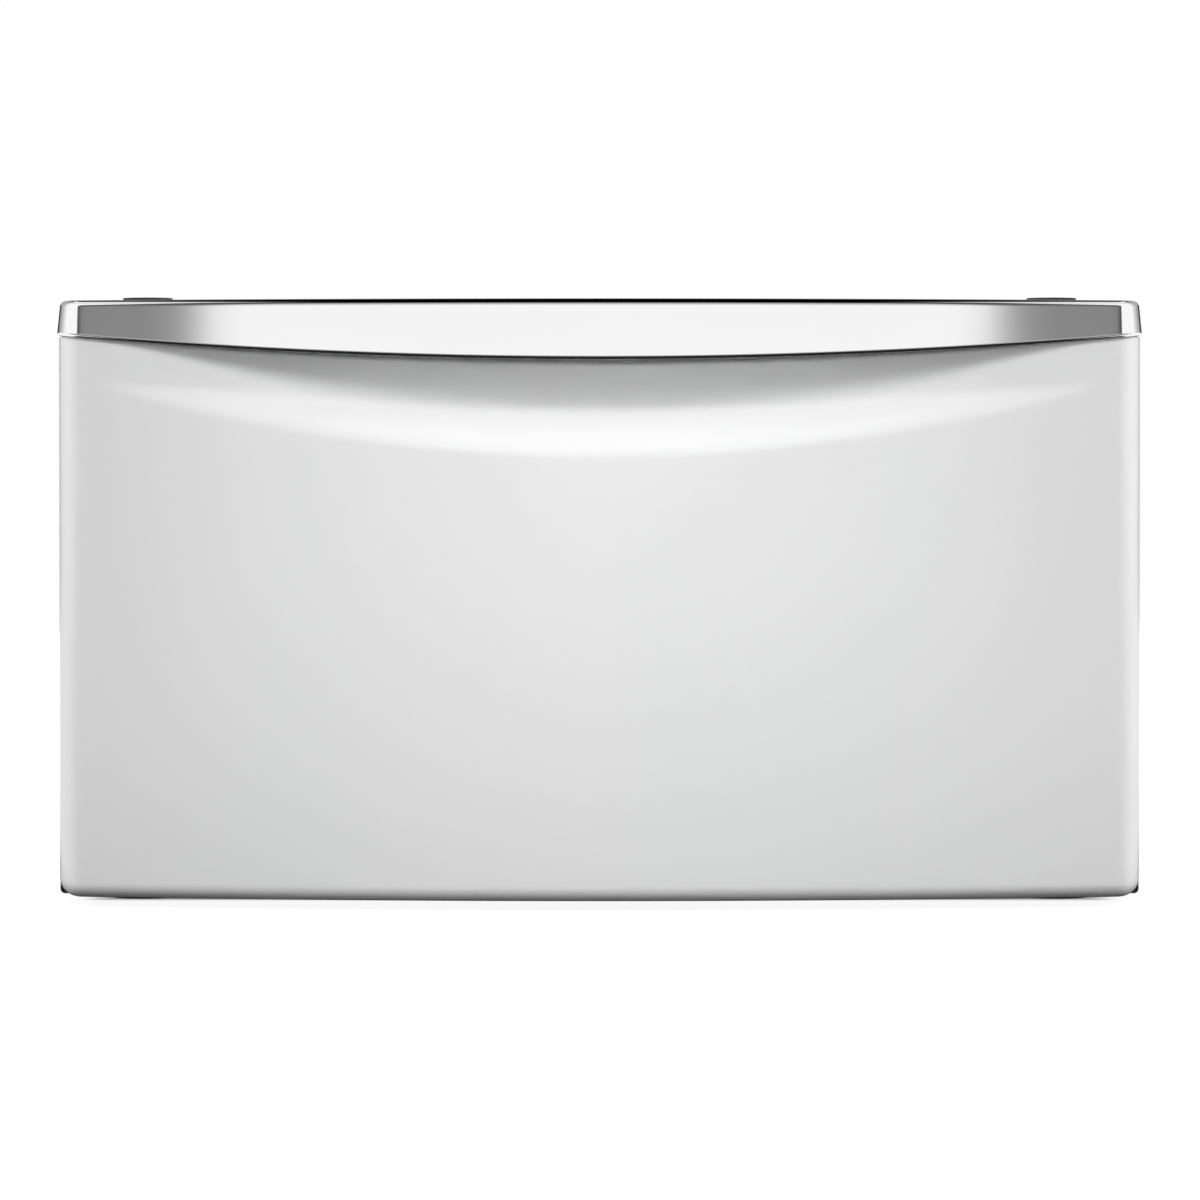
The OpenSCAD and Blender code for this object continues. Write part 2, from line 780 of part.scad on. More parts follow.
module foot_stud(sx, sy) {
    color(steel) translate(foot_place(sx, sy)) {
        translate([0, 0, foot_h]) hex(nut_af, collar_h);
        translate([0, 0, foot_h + collar_h])
            cylinder(d = stud_d, h = drawer_z - stud_gap - foot_h - collar_h);
    }
}

// Rubber stops on the shell's front edge, one seat short of the drawer front
bumper_r = 5;
bumper_zs = [0.2, 0.8] * deck_z;

module drawer_bumpers() {
    color(black) for (s = [-1, 1]) for (z = bumper_zs)
        translate([s * shell_screw_x, shell_y - front_gap + seat, z])
            rod_y(bumper_r, front_gap - seat);
}

/* Ball-bearing slides */

// Across a slide, u runs from the cabinet towards the drawer and v upwards from its centre.
// Members nest: each flange carries a groove for the row of balls between it and the next.
steel_t = 1.2;
race_t = 1.6;
race_deep = 0.45;
ball_fit = 0.1;
ball_shift = 0.3;
member_gap = 1;
cage_gap = 0.2;
race_gap = ball_d + 2 * ball_fit - 2 * race_deep;
flange_pitch = race_t + race_gap;
ball_u = slide_t / 2 + ball_shift;
outer_v = slide_h / 2 - race_t;
middle_v = outer_v - flange_pitch;
inner_v = middle_v - flange_pitch;
middle_u = steel_t + member_gap;
inner_u = middle_u + steel_t + member_gap + cage_gap;
outer_lip = 2.2;
middle_lip = 1.7;
cage_t = 0.6;
cage_end = 15;
cage_lip = 0.6;
cage_len = (ball_count - 1) * ball_pitch + 2 * cage_end;
cage_y = slide_y + slide_len / 2 - cage_len / 2;
groove_r = ball_d / 2 + ball_fit;

// One member: a web from u0 to u0 + its thickness, and two flanges whose inner faces lie at v
module member_profile(web_u, v, u0, u1) {
    translate([web_u, -v - race_t]) square([steel_t, 2 * v + 2 * race_t]);
    for (s = [-1, 1])
        translate([u0, s > 0 ? v : -v - race_t]) square([u1 - u0, race_t]);
}

module grooves(v) {
    for (s = [-1, 1]) translate([ball_u, s * v]) circle(r = groove_r);
}

row_outer_v = outer_v - race_gap / 2;
row_inner_v = middle_v - race_gap / 2;
outer_cage_u = steel_t + cage_gap;
inner_cage_u = middle_u + steel_t + cage_gap;

// Places a profile drawn in u and v on the right-hand slide, extruded backwards from y
module along_slide(y, length) {
    translate([slide_x, y + length, slide_z]) rotate([90, 0, 0])
        linear_extrude(length) mirror([1, 0]) children();
}

rivet_places = [for (k = [0.06, 0.32, 0.68, 0.94]) slide_y + k * slide_len];

module rivet_bores() {
    for (y = rivet_places)
        translate([drawer_x - sheet - eps, y, slide_z])
            rod_x(screw_r + fit, slide_inset + slide_t);
}

module slide_outer(side) {
    color(steel) on_side(side) difference() {
        along_slide(slide_y, slide_len) difference() {
            member_profile(0, outer_v, 0, slide_t - outer_lip);
            grooves(row_outer_v);
        }
        rivet_bores();
    }
}

module slide_middle(side) {
    color(steel) on_side(side)
        along_slide(slide_y, slide_len) difference() {
            member_profile(middle_u, middle_v, middle_u, slide_t - middle_lip);
            grooves(row_outer_v);
            grooves(row_inner_v);
        }
}

module slide_inner(side) {
    color(steel) on_side(side) difference() {
        along_slide(slide_y, slide_len) difference() {
            member_profile(slide_t - steel_t, inner_v, inner_u, slide_t);
            grooves(row_inner_v);
        }
        rivet_bores();
        translate([slide_x - slide_t - eps, lever_y, slide_z]) rod_x(screw_r + fit, 2 * steel_t);
    }
}

// Cage: a thin channel whose two edges hold the balls in round holes
module cage_profile(web_u, v) {
    translate([web_u, -v]) square([cage_t, 2 * v]);
    for (s = [-1, 1])
        translate([web_u, s * v - cage_t / 2])
            square([ball_u + ball_d / 2 + cage_lip - web_u, cage_t]);
}

module ball_row(v) {
    for (k = [0:ball_count - 1]) for (s = [-1, 1])
        translate([slide_x - ball_u, cage_y + cage_end + k * ball_pitch, slide_z + s * v]) children();
}

module ball_cage(side, web_u, v) {
    color("goldenrod") on_side(side) difference() {
        along_slide(cage_y, cage_len) cage_profile(web_u, v);
        ball_row(v) translate([0, 0, -cage_t]) cylinder(r = groove_r, h = 2 * cage_t);
    }
}

module balls(side, v) {
    color(steel) on_side(side) ball_row(v) sphere(d = ball_d);
}

// Rivets from the support to the outer member
module slide_rivets() {
    color(steel) for (side = [-1, 1]) on_side(side) for (y = rivet_places)
        translate([slide_x - steel_t, y, slide_z]) {
            rod_x(screw_r, steel_t + sheet);
            translate([steel_t + sheet, 0, 0]) rod_x(head_r, head_h);
        }
}

// Screws from inside the drawer to the inner member
module drawer_slide_screws() {
    color(steel) for (side = [-1, 1]) on_side(side) for (y = rivet_places)
        translate([drawer_x - sheet, y, slide_z]) {
            rod_x(screw_r, sheet + steel_t);
            translate([-head_h, 0, 0]) rod_x(head_r, head_h);
        }
}

// Release lever in the channel of the inner member, turning on a rivet at its middle
lever_h = 8;
lever_hub = 3;
lever_gap = 0.8;
lever_y = slide_y + 0.37 * slide_len;
lever_u = inner_u + lever_gap;

module release_lever(side) {
    thick = slide_t - steel_t - seat - lever_u;
    color(black) on_side(side)
        translate([slide_x - lever_u - thick, lever_y, slide_z]) difference() {
            rotate([0, 90, 0]) linear_extrude(thick) {
                circle(d = lever_h + lever_hub);
                square([lever_h / 2, lever_len - lever_h], center = true);
                for (s = [-1, 1])
                    translate([0, s * (lever_len - lever_h) / 2]) circle(d = lever_h);
            }
            translate([-eps, 0, 0]) rod_x(screw_r + fit, thick + 2 * eps);
        }
}

module lever_rivets() {
    color(steel) for (side = [-1, 1]) on_side(side)
        translate([drawer_x, lever_y, slide_z]) rod_x(screw_r, slide_t - lever_u);
}

// Supports: channels between the side panels and the slides
support_h = 70;
support_lip = 14;
support_past = 20;

module slide_support(side) {
    z0 = slide_z - support_h / 2;
    z1 = slide_z + support_h / 2;
    y1 = slide_y + slide_len + support_past;
    color(steel) on_side(side) difference() {
        union() {
            box([slide_x, slide_y, z0], [slide_x + sheet, y1, z1]);
            for (z = [z0, z1 - sheet])
                box([slide_x, slide_y, z], [inner_x, y1, z + sheet]);
            for (z = [z0 - support_lip, z1])
                box([inner_x - sheet, slide_y, z], [inner_x, y1, z + support_lip]);
        }
        rivet_bores();
    }
}

/* The drawer box */

drawer_top = drawer_z + drawer_h;
wall_x = drawer_x - sheet;
lip_h = 8;

module drawer_side(side) {
    color(enamel) on_side(side) difference() {
        union() {
            box([wall_x, liner_y, drawer_z], [drawer_x, drawer_back_y, drawer_top]);
            for (z = [drawer_z, drawer_top - sheet])
                box(
                    [drawer_x - drawer_flange, liner_y + 2 * sheet + drawer_flange, z],
                    [drawer_x, drawer_back_y - sheet - drawer_flange, z + sheet]
                );
            box(
                [drawer_x - drawer_flange, liner_y + sheet, drawer_z + 4 * sheet],
                [drawer_x, liner_y + 2 * sheet, drawer_top - 2 * lip_h]
            );
        }
        rivet_bores();
        translate([drawer_x - drawer_flange, lever_y, slide_z]) rod_x(screw_r + fit, 2 * drawer_flange);
    }
}

bottom_z = drawer_z + sheet;
bottom_beads = 5;

module drawer_bottom() {
    x = wall_x - seat;
    y0 = liner_y + 2 * sheet + seat;
    y1 = drawer_back_y - sheet - seat;
    pitch = (y1 - y0) / (bottom_beads + 1);
    length = 2 * x - 4 * drawer_flange;
    color(enamel) difference() {
        union() {
            box([-x, y0, bottom_z], [x, y1, bottom_z + sheet]);
            for (k = [1:bottom_beads])
                translate([0, y0 + k * pitch, bottom_z])
                    bead(length, bead_w, bead_slope, sheet + bead_h);
        }
        for (k = [1:bottom_beads])
            translate([0, y0 + k * pitch, bottom_z - eps])
                bead(length - 2 * sheet, bead_w - 2 * sheet, bead_slope, bead_h + eps);
    }
}

// Front and back walls: each has a top flange with a lip that the divider's clips hang on.
// The profile is drawn for a wall whose outer face is at y and that looks towards way.
module end_wall(y, way) {
    x = wall_x - seat;
    y_in = y + way * sheet;
    y_far = y + way * drawer_flange;
    y_lip = y_far - way * sheet;
    box([-x, min(y, y_in), drawer_z + 2 * sheet], [x, max(y, y_in), drawer_top]);
    box([-x, min(y, y_far), drawer_top - sheet], [x, max(y, y_far), drawer_top]);
    box([-x, min(y_lip, y_far), drawer_top - lip_h], [x, max(y_lip, y_far), drawer_top]);
}

module drawer_front_wall() {
    color(enamel) difference() {
        end_wall(liner_y, 1);
        for (p = front_screw_places)
            translate([p[0], liner_y - eps, p[1]]) rod_y(screw_r + fit, sheet + 2 * eps);
    }
}

module drawer_back() {
    color(enamel) end_wall(drawer_back_y, -1);
}

module drawer_front_screws() {
    color(steel) for (p = front_screw_places)
        screw_forward(p[0], liner_y + sheet, p[1], sheet + boss_screw_len);
}

// The divider hangs on two clips that wrap the lips of the front and back walls
clip_t = 3;
clip_hook = 2;

module divider_clip(y, way) {
    lip_y = y + way * drawer_flange;
    leg = lip_y + way * seat;
    leg_far = leg + way * clip_t;
    over = y + way * 3 * sheet;
    under = lip_y - way * (sheet + clip_hook);
    top = drawer_top + seat;
    low = drawer_top - lip_h - seat;
    box([-clip_w / 2, min(leg, leg_far), low - clip_t], [clip_w / 2, max(leg, leg_far), top + clip_t]);
    box([-clip_w / 2, min(over, leg_far), top], [clip_w / 2, max(over, leg_far), top + clip_t]);
    box([-clip_w / 2, min(under, leg_far), low - clip_t], [clip_w / 2, max(under, leg_far), low]);
}

module divider_clips() {
    color(black) {
        divider_clip(liner_y, 1);
        divider_clip(drawer_back_y, -1);
    }
}

divider_room = 2;
slots = 6;
slot_w = 30;
slot_share = 0.6;

module divider() {
    reach = drawer_flange + seat + clip_t;
    y0 = liner_y + reach;
    y1 = drawer_back_y - reach;
    z0 = bottom_z + sheet + bead_h + divider_room;
    z1 = drawer_top - lip_h;
    color(enamel) difference() {
        box([-divider_t / 2, y0, z0], [divider_t / 2, y1, z1]);
        for (k = [1:slots])
            translate([-divider_t, y0 + k * (y1 - y0) / (slots + 1), (z0 + z1) / 2])
                rotate([0, 90, 0]) stadium(slot_share * (z1 - z0), slot_w, 2 * divider_t);
    }
}

/* One line for each piece */

side_panel(-1);  // side_panel_left
side_panel(1);  // side_panel_right
back_panel();
top_deck();
deck_discs();
deck_screws();
front_top_rail();
front_bottom_rail();
rear_bottom_rail();
deck_stiffener();
corner_bracket(-1, -1);  // corner_bracket_fl
corner_bracket(1, -1);  // corner_bracket_fr
corner_bracket(-1, 1);  // corner_bracket_rl
corner_bracket(1, 1);  // corner_bracket_rr
foot_nuts();
slide_support(-1);  // slide_support_left
slide_support(1);  // slide_support_right
rail_screws();
back_screws();
slide_rivets();
drawer_bumpers();
slide_outer(-1);  // slide_outer_left
slide_outer(1);  // slide_outer_right
slide_middle(-1);  // slide_middle_left
slide_middle(1);  // slide_middle_right
slide_inner(-1);  // slide_inner_left
slide_inner(1);  // slide_inner_right
ball_cage(-1, outer_cage_u, row_outer_v);  // ball_cage_outer_left
ball_cage(1, outer_cage_u, row_outer_v);  // ball_cage_outer_right
ball_cage(-1, inner_cage_u, row_inner_v);  // ball_cage_inner_left
ball_cage(1, inner_cage_u, row_inner_v);  // ball_cage_inner_right
balls(-1, row_outer_v);  // balls_outer_left
balls(1, row_outer_v);  // balls_outer_right
balls(-1, row_inner_v);  // balls_inner_left
balls(1, row_inner_v);  // balls_inner_right
release_lever(-1);  // release_lever_left
release_lever(1);  // release_lever_right
lever_rivets();
drawer_side(-1);  // drawer_side_left
drawer_side(1);  // drawer_side_right
drawer_bottom();
drawer_back();
drawer_front_wall();
drawer_slide_screws();
drawer_front_screws();
divider();
divider_clips();
front_panel();
front_liner();
panel_screws();
handle();
handle_screws();
foot_pad(-1, -1);  // foot_pad_fl
foot_pad(1, -1);  // foot_pad_fr
foot_pad(-1, 1);  // foot_pad_rl
foot_pad(1, 1);  // foot_pad_rr
foot_stud(-1, -1);  // foot_stud_fl
foot_stud(1, -1);  // foot_stud_fr
foot_stud(-1, 1);  // foot_stud_rl
foot_stud(1, 1);  // foot_stud_rr
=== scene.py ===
# Laundry pedestal: a white steel plinth with one full-width drawer behind a bowed, gloss
# white front, and a bright chrome handle cap along the front's upper edge.
# The sections follow the pedestal as it is put together.
import bpy
import bmesh
import json
from math import atan2, cos, pi, radians, sin, sqrt, tan
from mathutils import Matrix, Vector

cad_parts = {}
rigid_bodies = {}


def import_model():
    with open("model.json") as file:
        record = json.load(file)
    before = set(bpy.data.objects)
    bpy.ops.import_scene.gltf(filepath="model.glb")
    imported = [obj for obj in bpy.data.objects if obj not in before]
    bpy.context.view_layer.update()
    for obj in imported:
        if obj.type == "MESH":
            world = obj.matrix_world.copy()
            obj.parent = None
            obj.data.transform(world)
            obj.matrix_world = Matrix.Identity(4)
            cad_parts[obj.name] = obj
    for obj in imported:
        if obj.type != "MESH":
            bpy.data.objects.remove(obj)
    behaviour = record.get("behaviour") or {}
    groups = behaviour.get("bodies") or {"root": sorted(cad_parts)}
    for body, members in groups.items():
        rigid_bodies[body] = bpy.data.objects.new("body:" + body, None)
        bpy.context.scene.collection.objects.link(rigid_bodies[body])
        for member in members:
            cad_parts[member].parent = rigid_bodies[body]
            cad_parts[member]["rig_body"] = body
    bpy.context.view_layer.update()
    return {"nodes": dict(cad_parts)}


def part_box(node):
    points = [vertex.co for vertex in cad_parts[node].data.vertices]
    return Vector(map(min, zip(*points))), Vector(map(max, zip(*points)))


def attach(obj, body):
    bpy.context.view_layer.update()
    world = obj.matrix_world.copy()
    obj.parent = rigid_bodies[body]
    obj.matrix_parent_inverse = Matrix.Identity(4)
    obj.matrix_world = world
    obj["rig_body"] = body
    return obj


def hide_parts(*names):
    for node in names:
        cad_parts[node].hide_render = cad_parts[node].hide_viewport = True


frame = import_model()
nodes = frame["nodes"]

# THE PHOTOGRAPHER'S CAMERA
# A long lens 3.8 m in front of the drawer and a little above its middle, tipped down by
# one degree, as the curves of the front's upper and lower outlines give it.
bpy.ops.object.camera_add(location=(0.0003, -4.103, 0.266), rotation=(radians(88.925), 0, 0))
camera = bpy.context.object
camera.name = "photo_camera"
camera.data.lens = 180.7
camera.data.sensor_width = 36
camera.data.clip_end = 60
bpy.context.scene.camera = camera
bpy.context.scene.view_settings.view_transform = "Standard"

# THE STUDIO
# A white room for the camera. Gloss sees a wide card in front that fades at its edges, white
# cards at both sides and over them, a dim one high behind, and dark cloth between.
cloth_light, camera_light = 0.12, 1.0
studio = bpy.data.worlds.new("studio")
bpy.context.scene.world = studio
studio.use_nodes = True
studio.cycles.sampling_method = "NONE"
room = studio.node_tree
room.nodes.clear()


def wire(tree, kind, inputs=(), **settings):
    """Adds a shader node. An input is a number, a colour or another node's output."""
    node = tree.nodes.new("ShaderNode" + kind)
    for name, value in settings.items():
        setattr(node, name, value)
    for key, value in dict(inputs).items():
        if isinstance(value, bpy.types.NodeSocket):
            tree.links.new(value, node.inputs[key])
        else:
            node.inputs[key].default_value = value
    return node


def room_sum(operation, *parts):
    return wire(room, "Math", dict(enumerate(parts)), operation=operation).outputs[0]


def room_ramp(value, full, stops):
    """Turns an angle into a brightness: stops are pairs of angle and brightness."""
    node = wire(room, "ValToRGB", {0: value})
    ramp = node.color_ramp
    while len(ramp.elements) < len(stops):
        ramp.elements.new(0.5)
    for element, (angle, bright) in zip(ramp.elements, stops):
        element.position = angle / full
        element.color = (bright, bright, bright, 1)
    return node.outputs[0]


heading = wire(room, "TexCoord").outputs["Generated"]
room_x, room_y, room_z = wire(room, "SeparateXYZ", {0: heading}).outputs
bearing = room_sum("DIVIDE", room_sum("ABSOLUTE", room_sum(
    "ARCTAN2", room_x, room_sum("MULTIPLY", room_y, -1.0))), pi)
raised = room_sum("DIVIDE", room_sum("ARCSINE", room_z), pi / 2)
steep = room_sum("ABSOLUTE", raised)
front_card = room_sum(
    "MULTIPLY",
    room_ramp(bearing, 180, [
        (0, 1.0), (22.5, 1.0), (24.5, 0.88), (26.4, 0.43), (27.6, 0.31), (29.5, 0.26),
        (33.4, 0.26), (34.2, 0.1), (35.6, 0.1), (37, 0.0)]),
    room_ramp(steep, 90, [(0, 1.0), (5, 0.94), (15, 0.76), (30, 0.5), (48, 0.12), (55, 0.0)]))
side_cards = room_sum(
    "MULTIPLY",
    room_ramp(bearing, 180, [
        (35.6, 0.0), (38, 1.0), (88, 1.0), (106, 0.64), (132, 0.33), (150, 0.0)]),
    room_ramp(steep, 90, [(0, 1.0), (50, 1.0), (60, 0.0)]))
high_cards = room_sum(
    "MULTIPLY",
    room_ramp(raised, 90, [(0, 0.0), (52, 0.0), (60, 1.0)]),
    room_ramp(room_sum("ABSOLUTE", room_x), 1, [(0.22, 0.0), (0.27, 0.12), (0.35, 1.0)]))
dim_card = room_sum(
    "MULTIPLY",
    room_ramp(raised, 90, [(0, 0.0), (9, 0.0), (14, 0.45), (36, 0.45), (46, 0.0)]),
    room_ramp(bearing, 180, [(112, 0.0), (124, 1.0)]))
seen_in_gloss = room_sum("MAXIMUM", room_sum("MAXIMUM", front_card, side_cards),
                         room_sum("MAXIMUM", high_cards, dim_card))

paths = wire(room, "LightPath").outputs
look = wire(room, "Mix", {
    "Factor": paths["Is Glossy Ray"], "A": cloth_light, "B": seen_in_gloss}, data_type="FLOAT")
to_camera = wire(room, "Mix", {
    "Factor": paths["Is Camera Ray"], "A": look.outputs[0], "B": camera_light}, data_type="FLOAT")
glow = wire(room, "Background", {"Color": (1, 1, 1, 1), "Strength": to_camera.outputs[0]})
wire(room, "OutputWorld", {"Surface": glow.outputs[0]})

# THE LAMPS
# Soft boxes that light the paint and stay out of its gloss. The key and the fill are narrow
# beams on the drawer front, the others wash the sides, the top and the back.


def soft_lamp(name, place, aim, width, height, watts, spread=180):
    bpy.ops.object.light_add(type="AREA", location=place)
    lamp = bpy.context.object
    lamp.name = name
    lamp.data.shape = "RECTANGLE"
    lamp.data.size = width
    lamp.data.size_y = height
    lamp.data.energy = watts
    lamp.data.spread = radians(spread)
    lamp.rotation_euler = (Vector(aim) - Vector(place)).to_track_quat("-Z", "Y").to_euler()
    lamp.visible_glossy = False
    lamp.visible_camera = False


soft_lamp("key_lamp", (0, -1.8, 1.62), (0, -0.335, 0.22), 0.8, 0.7, 1.78, 40)
soft_lamp("fill_lamp", (0, -2.6, 0.5), (0, -0.335, 0.2), 0.4, 0.3, 0.34, 30)
soft_lamp("left_lamp", (-2.4, -0.4, 0.9), (0, 0, 0.2), 1.2, 1.2, 35)
soft_lamp("right_lamp", (2.4, -0.4, 0.9), (0, 0, 0.2), 1.2, 1.2, 36)
soft_lamp("right_front_lamp", (1.9, -1.9, 0.8), (0, -0.3, 0.2), 0.8, 1.0, 4)
soft_lamp("top_lamp", (0, 0.3, 2.6), (0, 0, 0.3), 1.6, 1.6, 9)
soft_lamp("back_lamp", (0, 2.6, 1.3), (0, 0.3, 0.2), 1.6, 1.0, 34)

# THE FLOOR
# White paper that keeps the pedestal's soft shadow and turns pure white further out. Gloss
# sees it dark near by, pale far off and white beside the front, and other light meets dark
# cloth. From below it isn't there.
pale_from, pale_full, dark_gloss, pale_gloss = 0.9, 1.3, 0.02, 0.5
bpy.ops.mesh.primitive_plane_add(size=14, location=(0, 0, 0))
floor = bpy.context.object
floor.name = "studio_floor"
sweep = bpy.data.materials.new("pale_floor")
sweep.use_nodes = True
sweep_tree = sweep.node_tree
sweep_tree.nodes.clear()


def floor_node(kind, inputs=(), **settings):
    return wire(sweep_tree, kind, inputs, **settings).outputs[0]


ray = wire(sweep_tree, "LightPath").outputs
spot_on_floor = wire(sweep_tree, "TexCoord").outputs["Object"]


def beyond(middle, half, soft, low, high):
    """From low inside a box on the floor to high outside it, over a soft edge. The box is
    given by its middle and its half sizes."""
    offset = floor_node("VectorMath", {0: spot_on_floor, 1: middle}, operation="SUBTRACT")
    away = floor_node("VectorMath", {0: offset}, operation="ABSOLUTE")
    past = floor_node("VectorMath", {0: away, 1: half}, operation="SUBTRACT")
    past_x, past_y, _ = wire(sweep_tree, "SeparateXYZ", {0: past}).outputs
    furthest = floor_node("Math", {0: past_x, 1: past_y}, operation="MAXIMUM")
    return floor_node("MapRange", {
        "Value": furthest, "From Min": -soft, "From Max": 0.0, "To Min": low, "To Max": high})


far_off = floor_node("MapRange", {
    "Value": ray["Ray Length"], "From Min": pale_from, "From Max": pale_full,
    "To Min": dark_gloss, "To Max": pale_gloss})
at_sides = beyond((0, 0, 0), (0.62, 9, 0), 0.05, 0.0, 1.0)
not_in_front = beyond((0, -5, 0), (9, 4.34, 0), 0.04, 0.0, 1.0)
side_floor = floor_node("Math", {0: at_sides, 1: not_in_front}, operation="MULTIPLY")
beside = floor_node("Math", {0: far_off, 1: side_floor}, operation="MAXIMUM")
in_gloss = floor_node("Emission", {"Strength": beside})
dark_cloth = floor_node("BsdfDiffuse", {"Color": (0.1, 0.1, 0.1, 1)})
unseen = floor_node("MixShader", {0: ray["Is Glossy Ray"], 1: dark_cloth, 2: in_gloss})

# Painted shade: in a box under the shell the floor's glow is turned down to a fifth, and within it
# the paper shows its real shadow.
shade_box_under_shell = beyond((0, 0.048, 0), (0.335, 0.283, 0), 0.02, 0.2, 0.8)
far_out = beyond((0, 0, 0), (1.8, 1.8, 0), 0.7, 0.0, 1.0)
share = floor_node("Math", {0: shade_box_under_shell, 1: far_out}, operation="MAXIMUM")
paper = floor_node("BsdfDiffuse", {"Color": (0.8, 0.8, 0.8, 1)})
lit_below = floor_node("Emission", {"Strength": 1.16})
seen_white = floor_node("MixShader", {0: share, 1: paper, 2: lit_below})
shown = floor_node("MixShader", {0: ray["Is Camera Ray"], 1: unseen, 2: seen_white})
from_below = wire(sweep_tree, "NewGeometry").outputs["Backfacing"]
one_sided = floor_node("MixShader", {0: from_below, 1: shown, 2: floor_node("BsdfTransparent")})
wire(sweep_tree, "OutputMaterial", {"Surface": one_sided})
floor.data.materials.append(sweep)

# SIDE PANELS
# Two trays of 1.2 mm sheet steel, folded inwards at the front, top, foot and rear, and
# powder coated white. They carry the deck, the rails and the slides.
half_w, shell_y, deck_z, sheet = 0.343, -0.247, 0.383, 0.0012
within = 0.00001


def start_effect(name, inputs, outputs=("Tone", "Gloss", "Height")):
    """Starts a shader group; gives its tree, its inputs and its output node."""
    group = bpy.data.node_groups.new(name, "ShaderNodeTree")
    for label, value in inputs.items():
        kind = "NodeSocketVector" if isinstance(value, tuple) else "NodeSocketFloat"
        group.interface.new_socket(label, in_out="INPUT", socket_type=kind).default_value = value
    for label in outputs:
        group.interface.new_socket(label, in_out="OUTPUT", socket_type="NodeSocketFloat")
    return group, group.nodes.new("NodeGroupInput").outputs, group.nodes.new("NodeGroupOutput")


def put_out(group, result, tone, gloss, height):
    for label, socket in (("Tone", tone), ("Gloss", gloss), ("Height", height)):
        group.links.new(socket, result.inputs[label])
    return group


def settled_dust_effect():
    """Dust that lies in soft drifts on what faces up."""
    group, given, result = start_effect("settled_dust", {"Amount": 0.1}, ["Mask"])
    place = wire(group, "TexCoord")
    facing = wire(group, "SeparateXYZ", {0: place.outputs["Normal"]})
    up = wire(group, "MapRange", {0: facing.outputs[2], 1: 0.55, 2: 0.98},
              interpolation_type="SMOOTHSTEP")
    drift = wire(group, "TexNoise", {0: place.outputs["Object"], "Scale": 14.0, "Detail": 5.0})
    speck = wire(group, "TexNoise", {0: place.outputs["Object"], "Scale": 900.0, "Detail": 1.0})
    soft = wire(group, "MapRange", {0: drift.outputs[0], 1: 0.35, 2: 0.7})
    spots = wire(group, "MapRange", {0: speck.outputs[0], 1: 0.45, 2: 0.75})
    both = wire(group, "Math", {0: soft.outputs[0], 1: spots.outputs[0], 2: soft.outputs[0]},
                operation="MULTIPLY_ADD")
    lying = wire(group, "Math", {0: both.outputs[0], 1: up.outputs[0]}, operation="MULTIPLY")
    amount = wire(group, "Math", {0: lying.outputs[0], 1: given["Amount"]},
                  operation="MULTIPLY", use_clamp=True)
    group.links.new(amount.outputs[0], result.inputs["Mask"])
    return group


def rubbed_edges_effect():
    """Edges that hands, tools and packing have rubbed, in patches."""
    group, given, result = start_effect("rubbed_edges", {"Amount": 0.3, "Radius": 0.0005}, ["Mask"])
    place = wire(group, "TexCoord")
    rounded = wire(group, "Bevel", {"Radius": given["Radius"]}, samples=4)
    level = wire(group, "NewGeometry")
    dot = wire(group, "VectorMath", {0: rounded.outputs[0], 1: level.outputs["Normal"]},
               operation="DOT_PRODUCT")
    edge = wire(group, "MapRange", {0: dot.outputs["Value"], 1: 0.995, 2: 0.9},
                interpolation_type="SMOOTHSTEP")
    patch = wire(group, "TexNoise", {0: place.outputs["Object"], "Scale": 60.0, "Detail": 4.0})
    worn = wire(group, "MapRange", {0: patch.outputs[0], 1: 0.4, 2: 0.65})
    both = wire(group, "Math", {0: edge.outputs[0], 1: worn.outputs[0]}, operation="MULTIPLY")
    amount = wire(group, "Math", {0: both.outputs[0], 1: given["Amount"]},
                  operation="MULTIPLY", use_clamp=True)
    group.links.new(amount.outputs[0], result.inputs["Mask"])
    return group


def sprayed_coat_effect():
    """Baked powder or paint: fine orange peel, and gloss and whiteness that drift slowly."""
    group, given, result = start_effect("sprayed_coat", {"Scale": 420.0})
    place = wire(group, "TexCoord").outputs["Object"]
    peel = wire(group, "TexNoise", {
        0: place, "Scale": given["Scale"], "Detail": 1.5, "Roughness": 0.4})
    drift = wire(group, "TexNoise", {0: place, "Scale": 5.0, "Detail": 3.0})
    patch = wire(group, "TexNoise", {0: place, "Scale": 38.0, "Detail": 4.0})
    return put_out(group, result, drift.outputs[0], patch.outputs[0], peel.outputs[0])


settled_dust = settled_dust_effect()
rubbed_edges = rubbed_edges_effect()
sprayed_coat = sprayed_coat_effect()
dust_colour = (0.42, 0.40, 0.37, 1)


def grey(level, warm=0.0):
    return (level * (1 + warm), level, level * (1 - warm), 1)


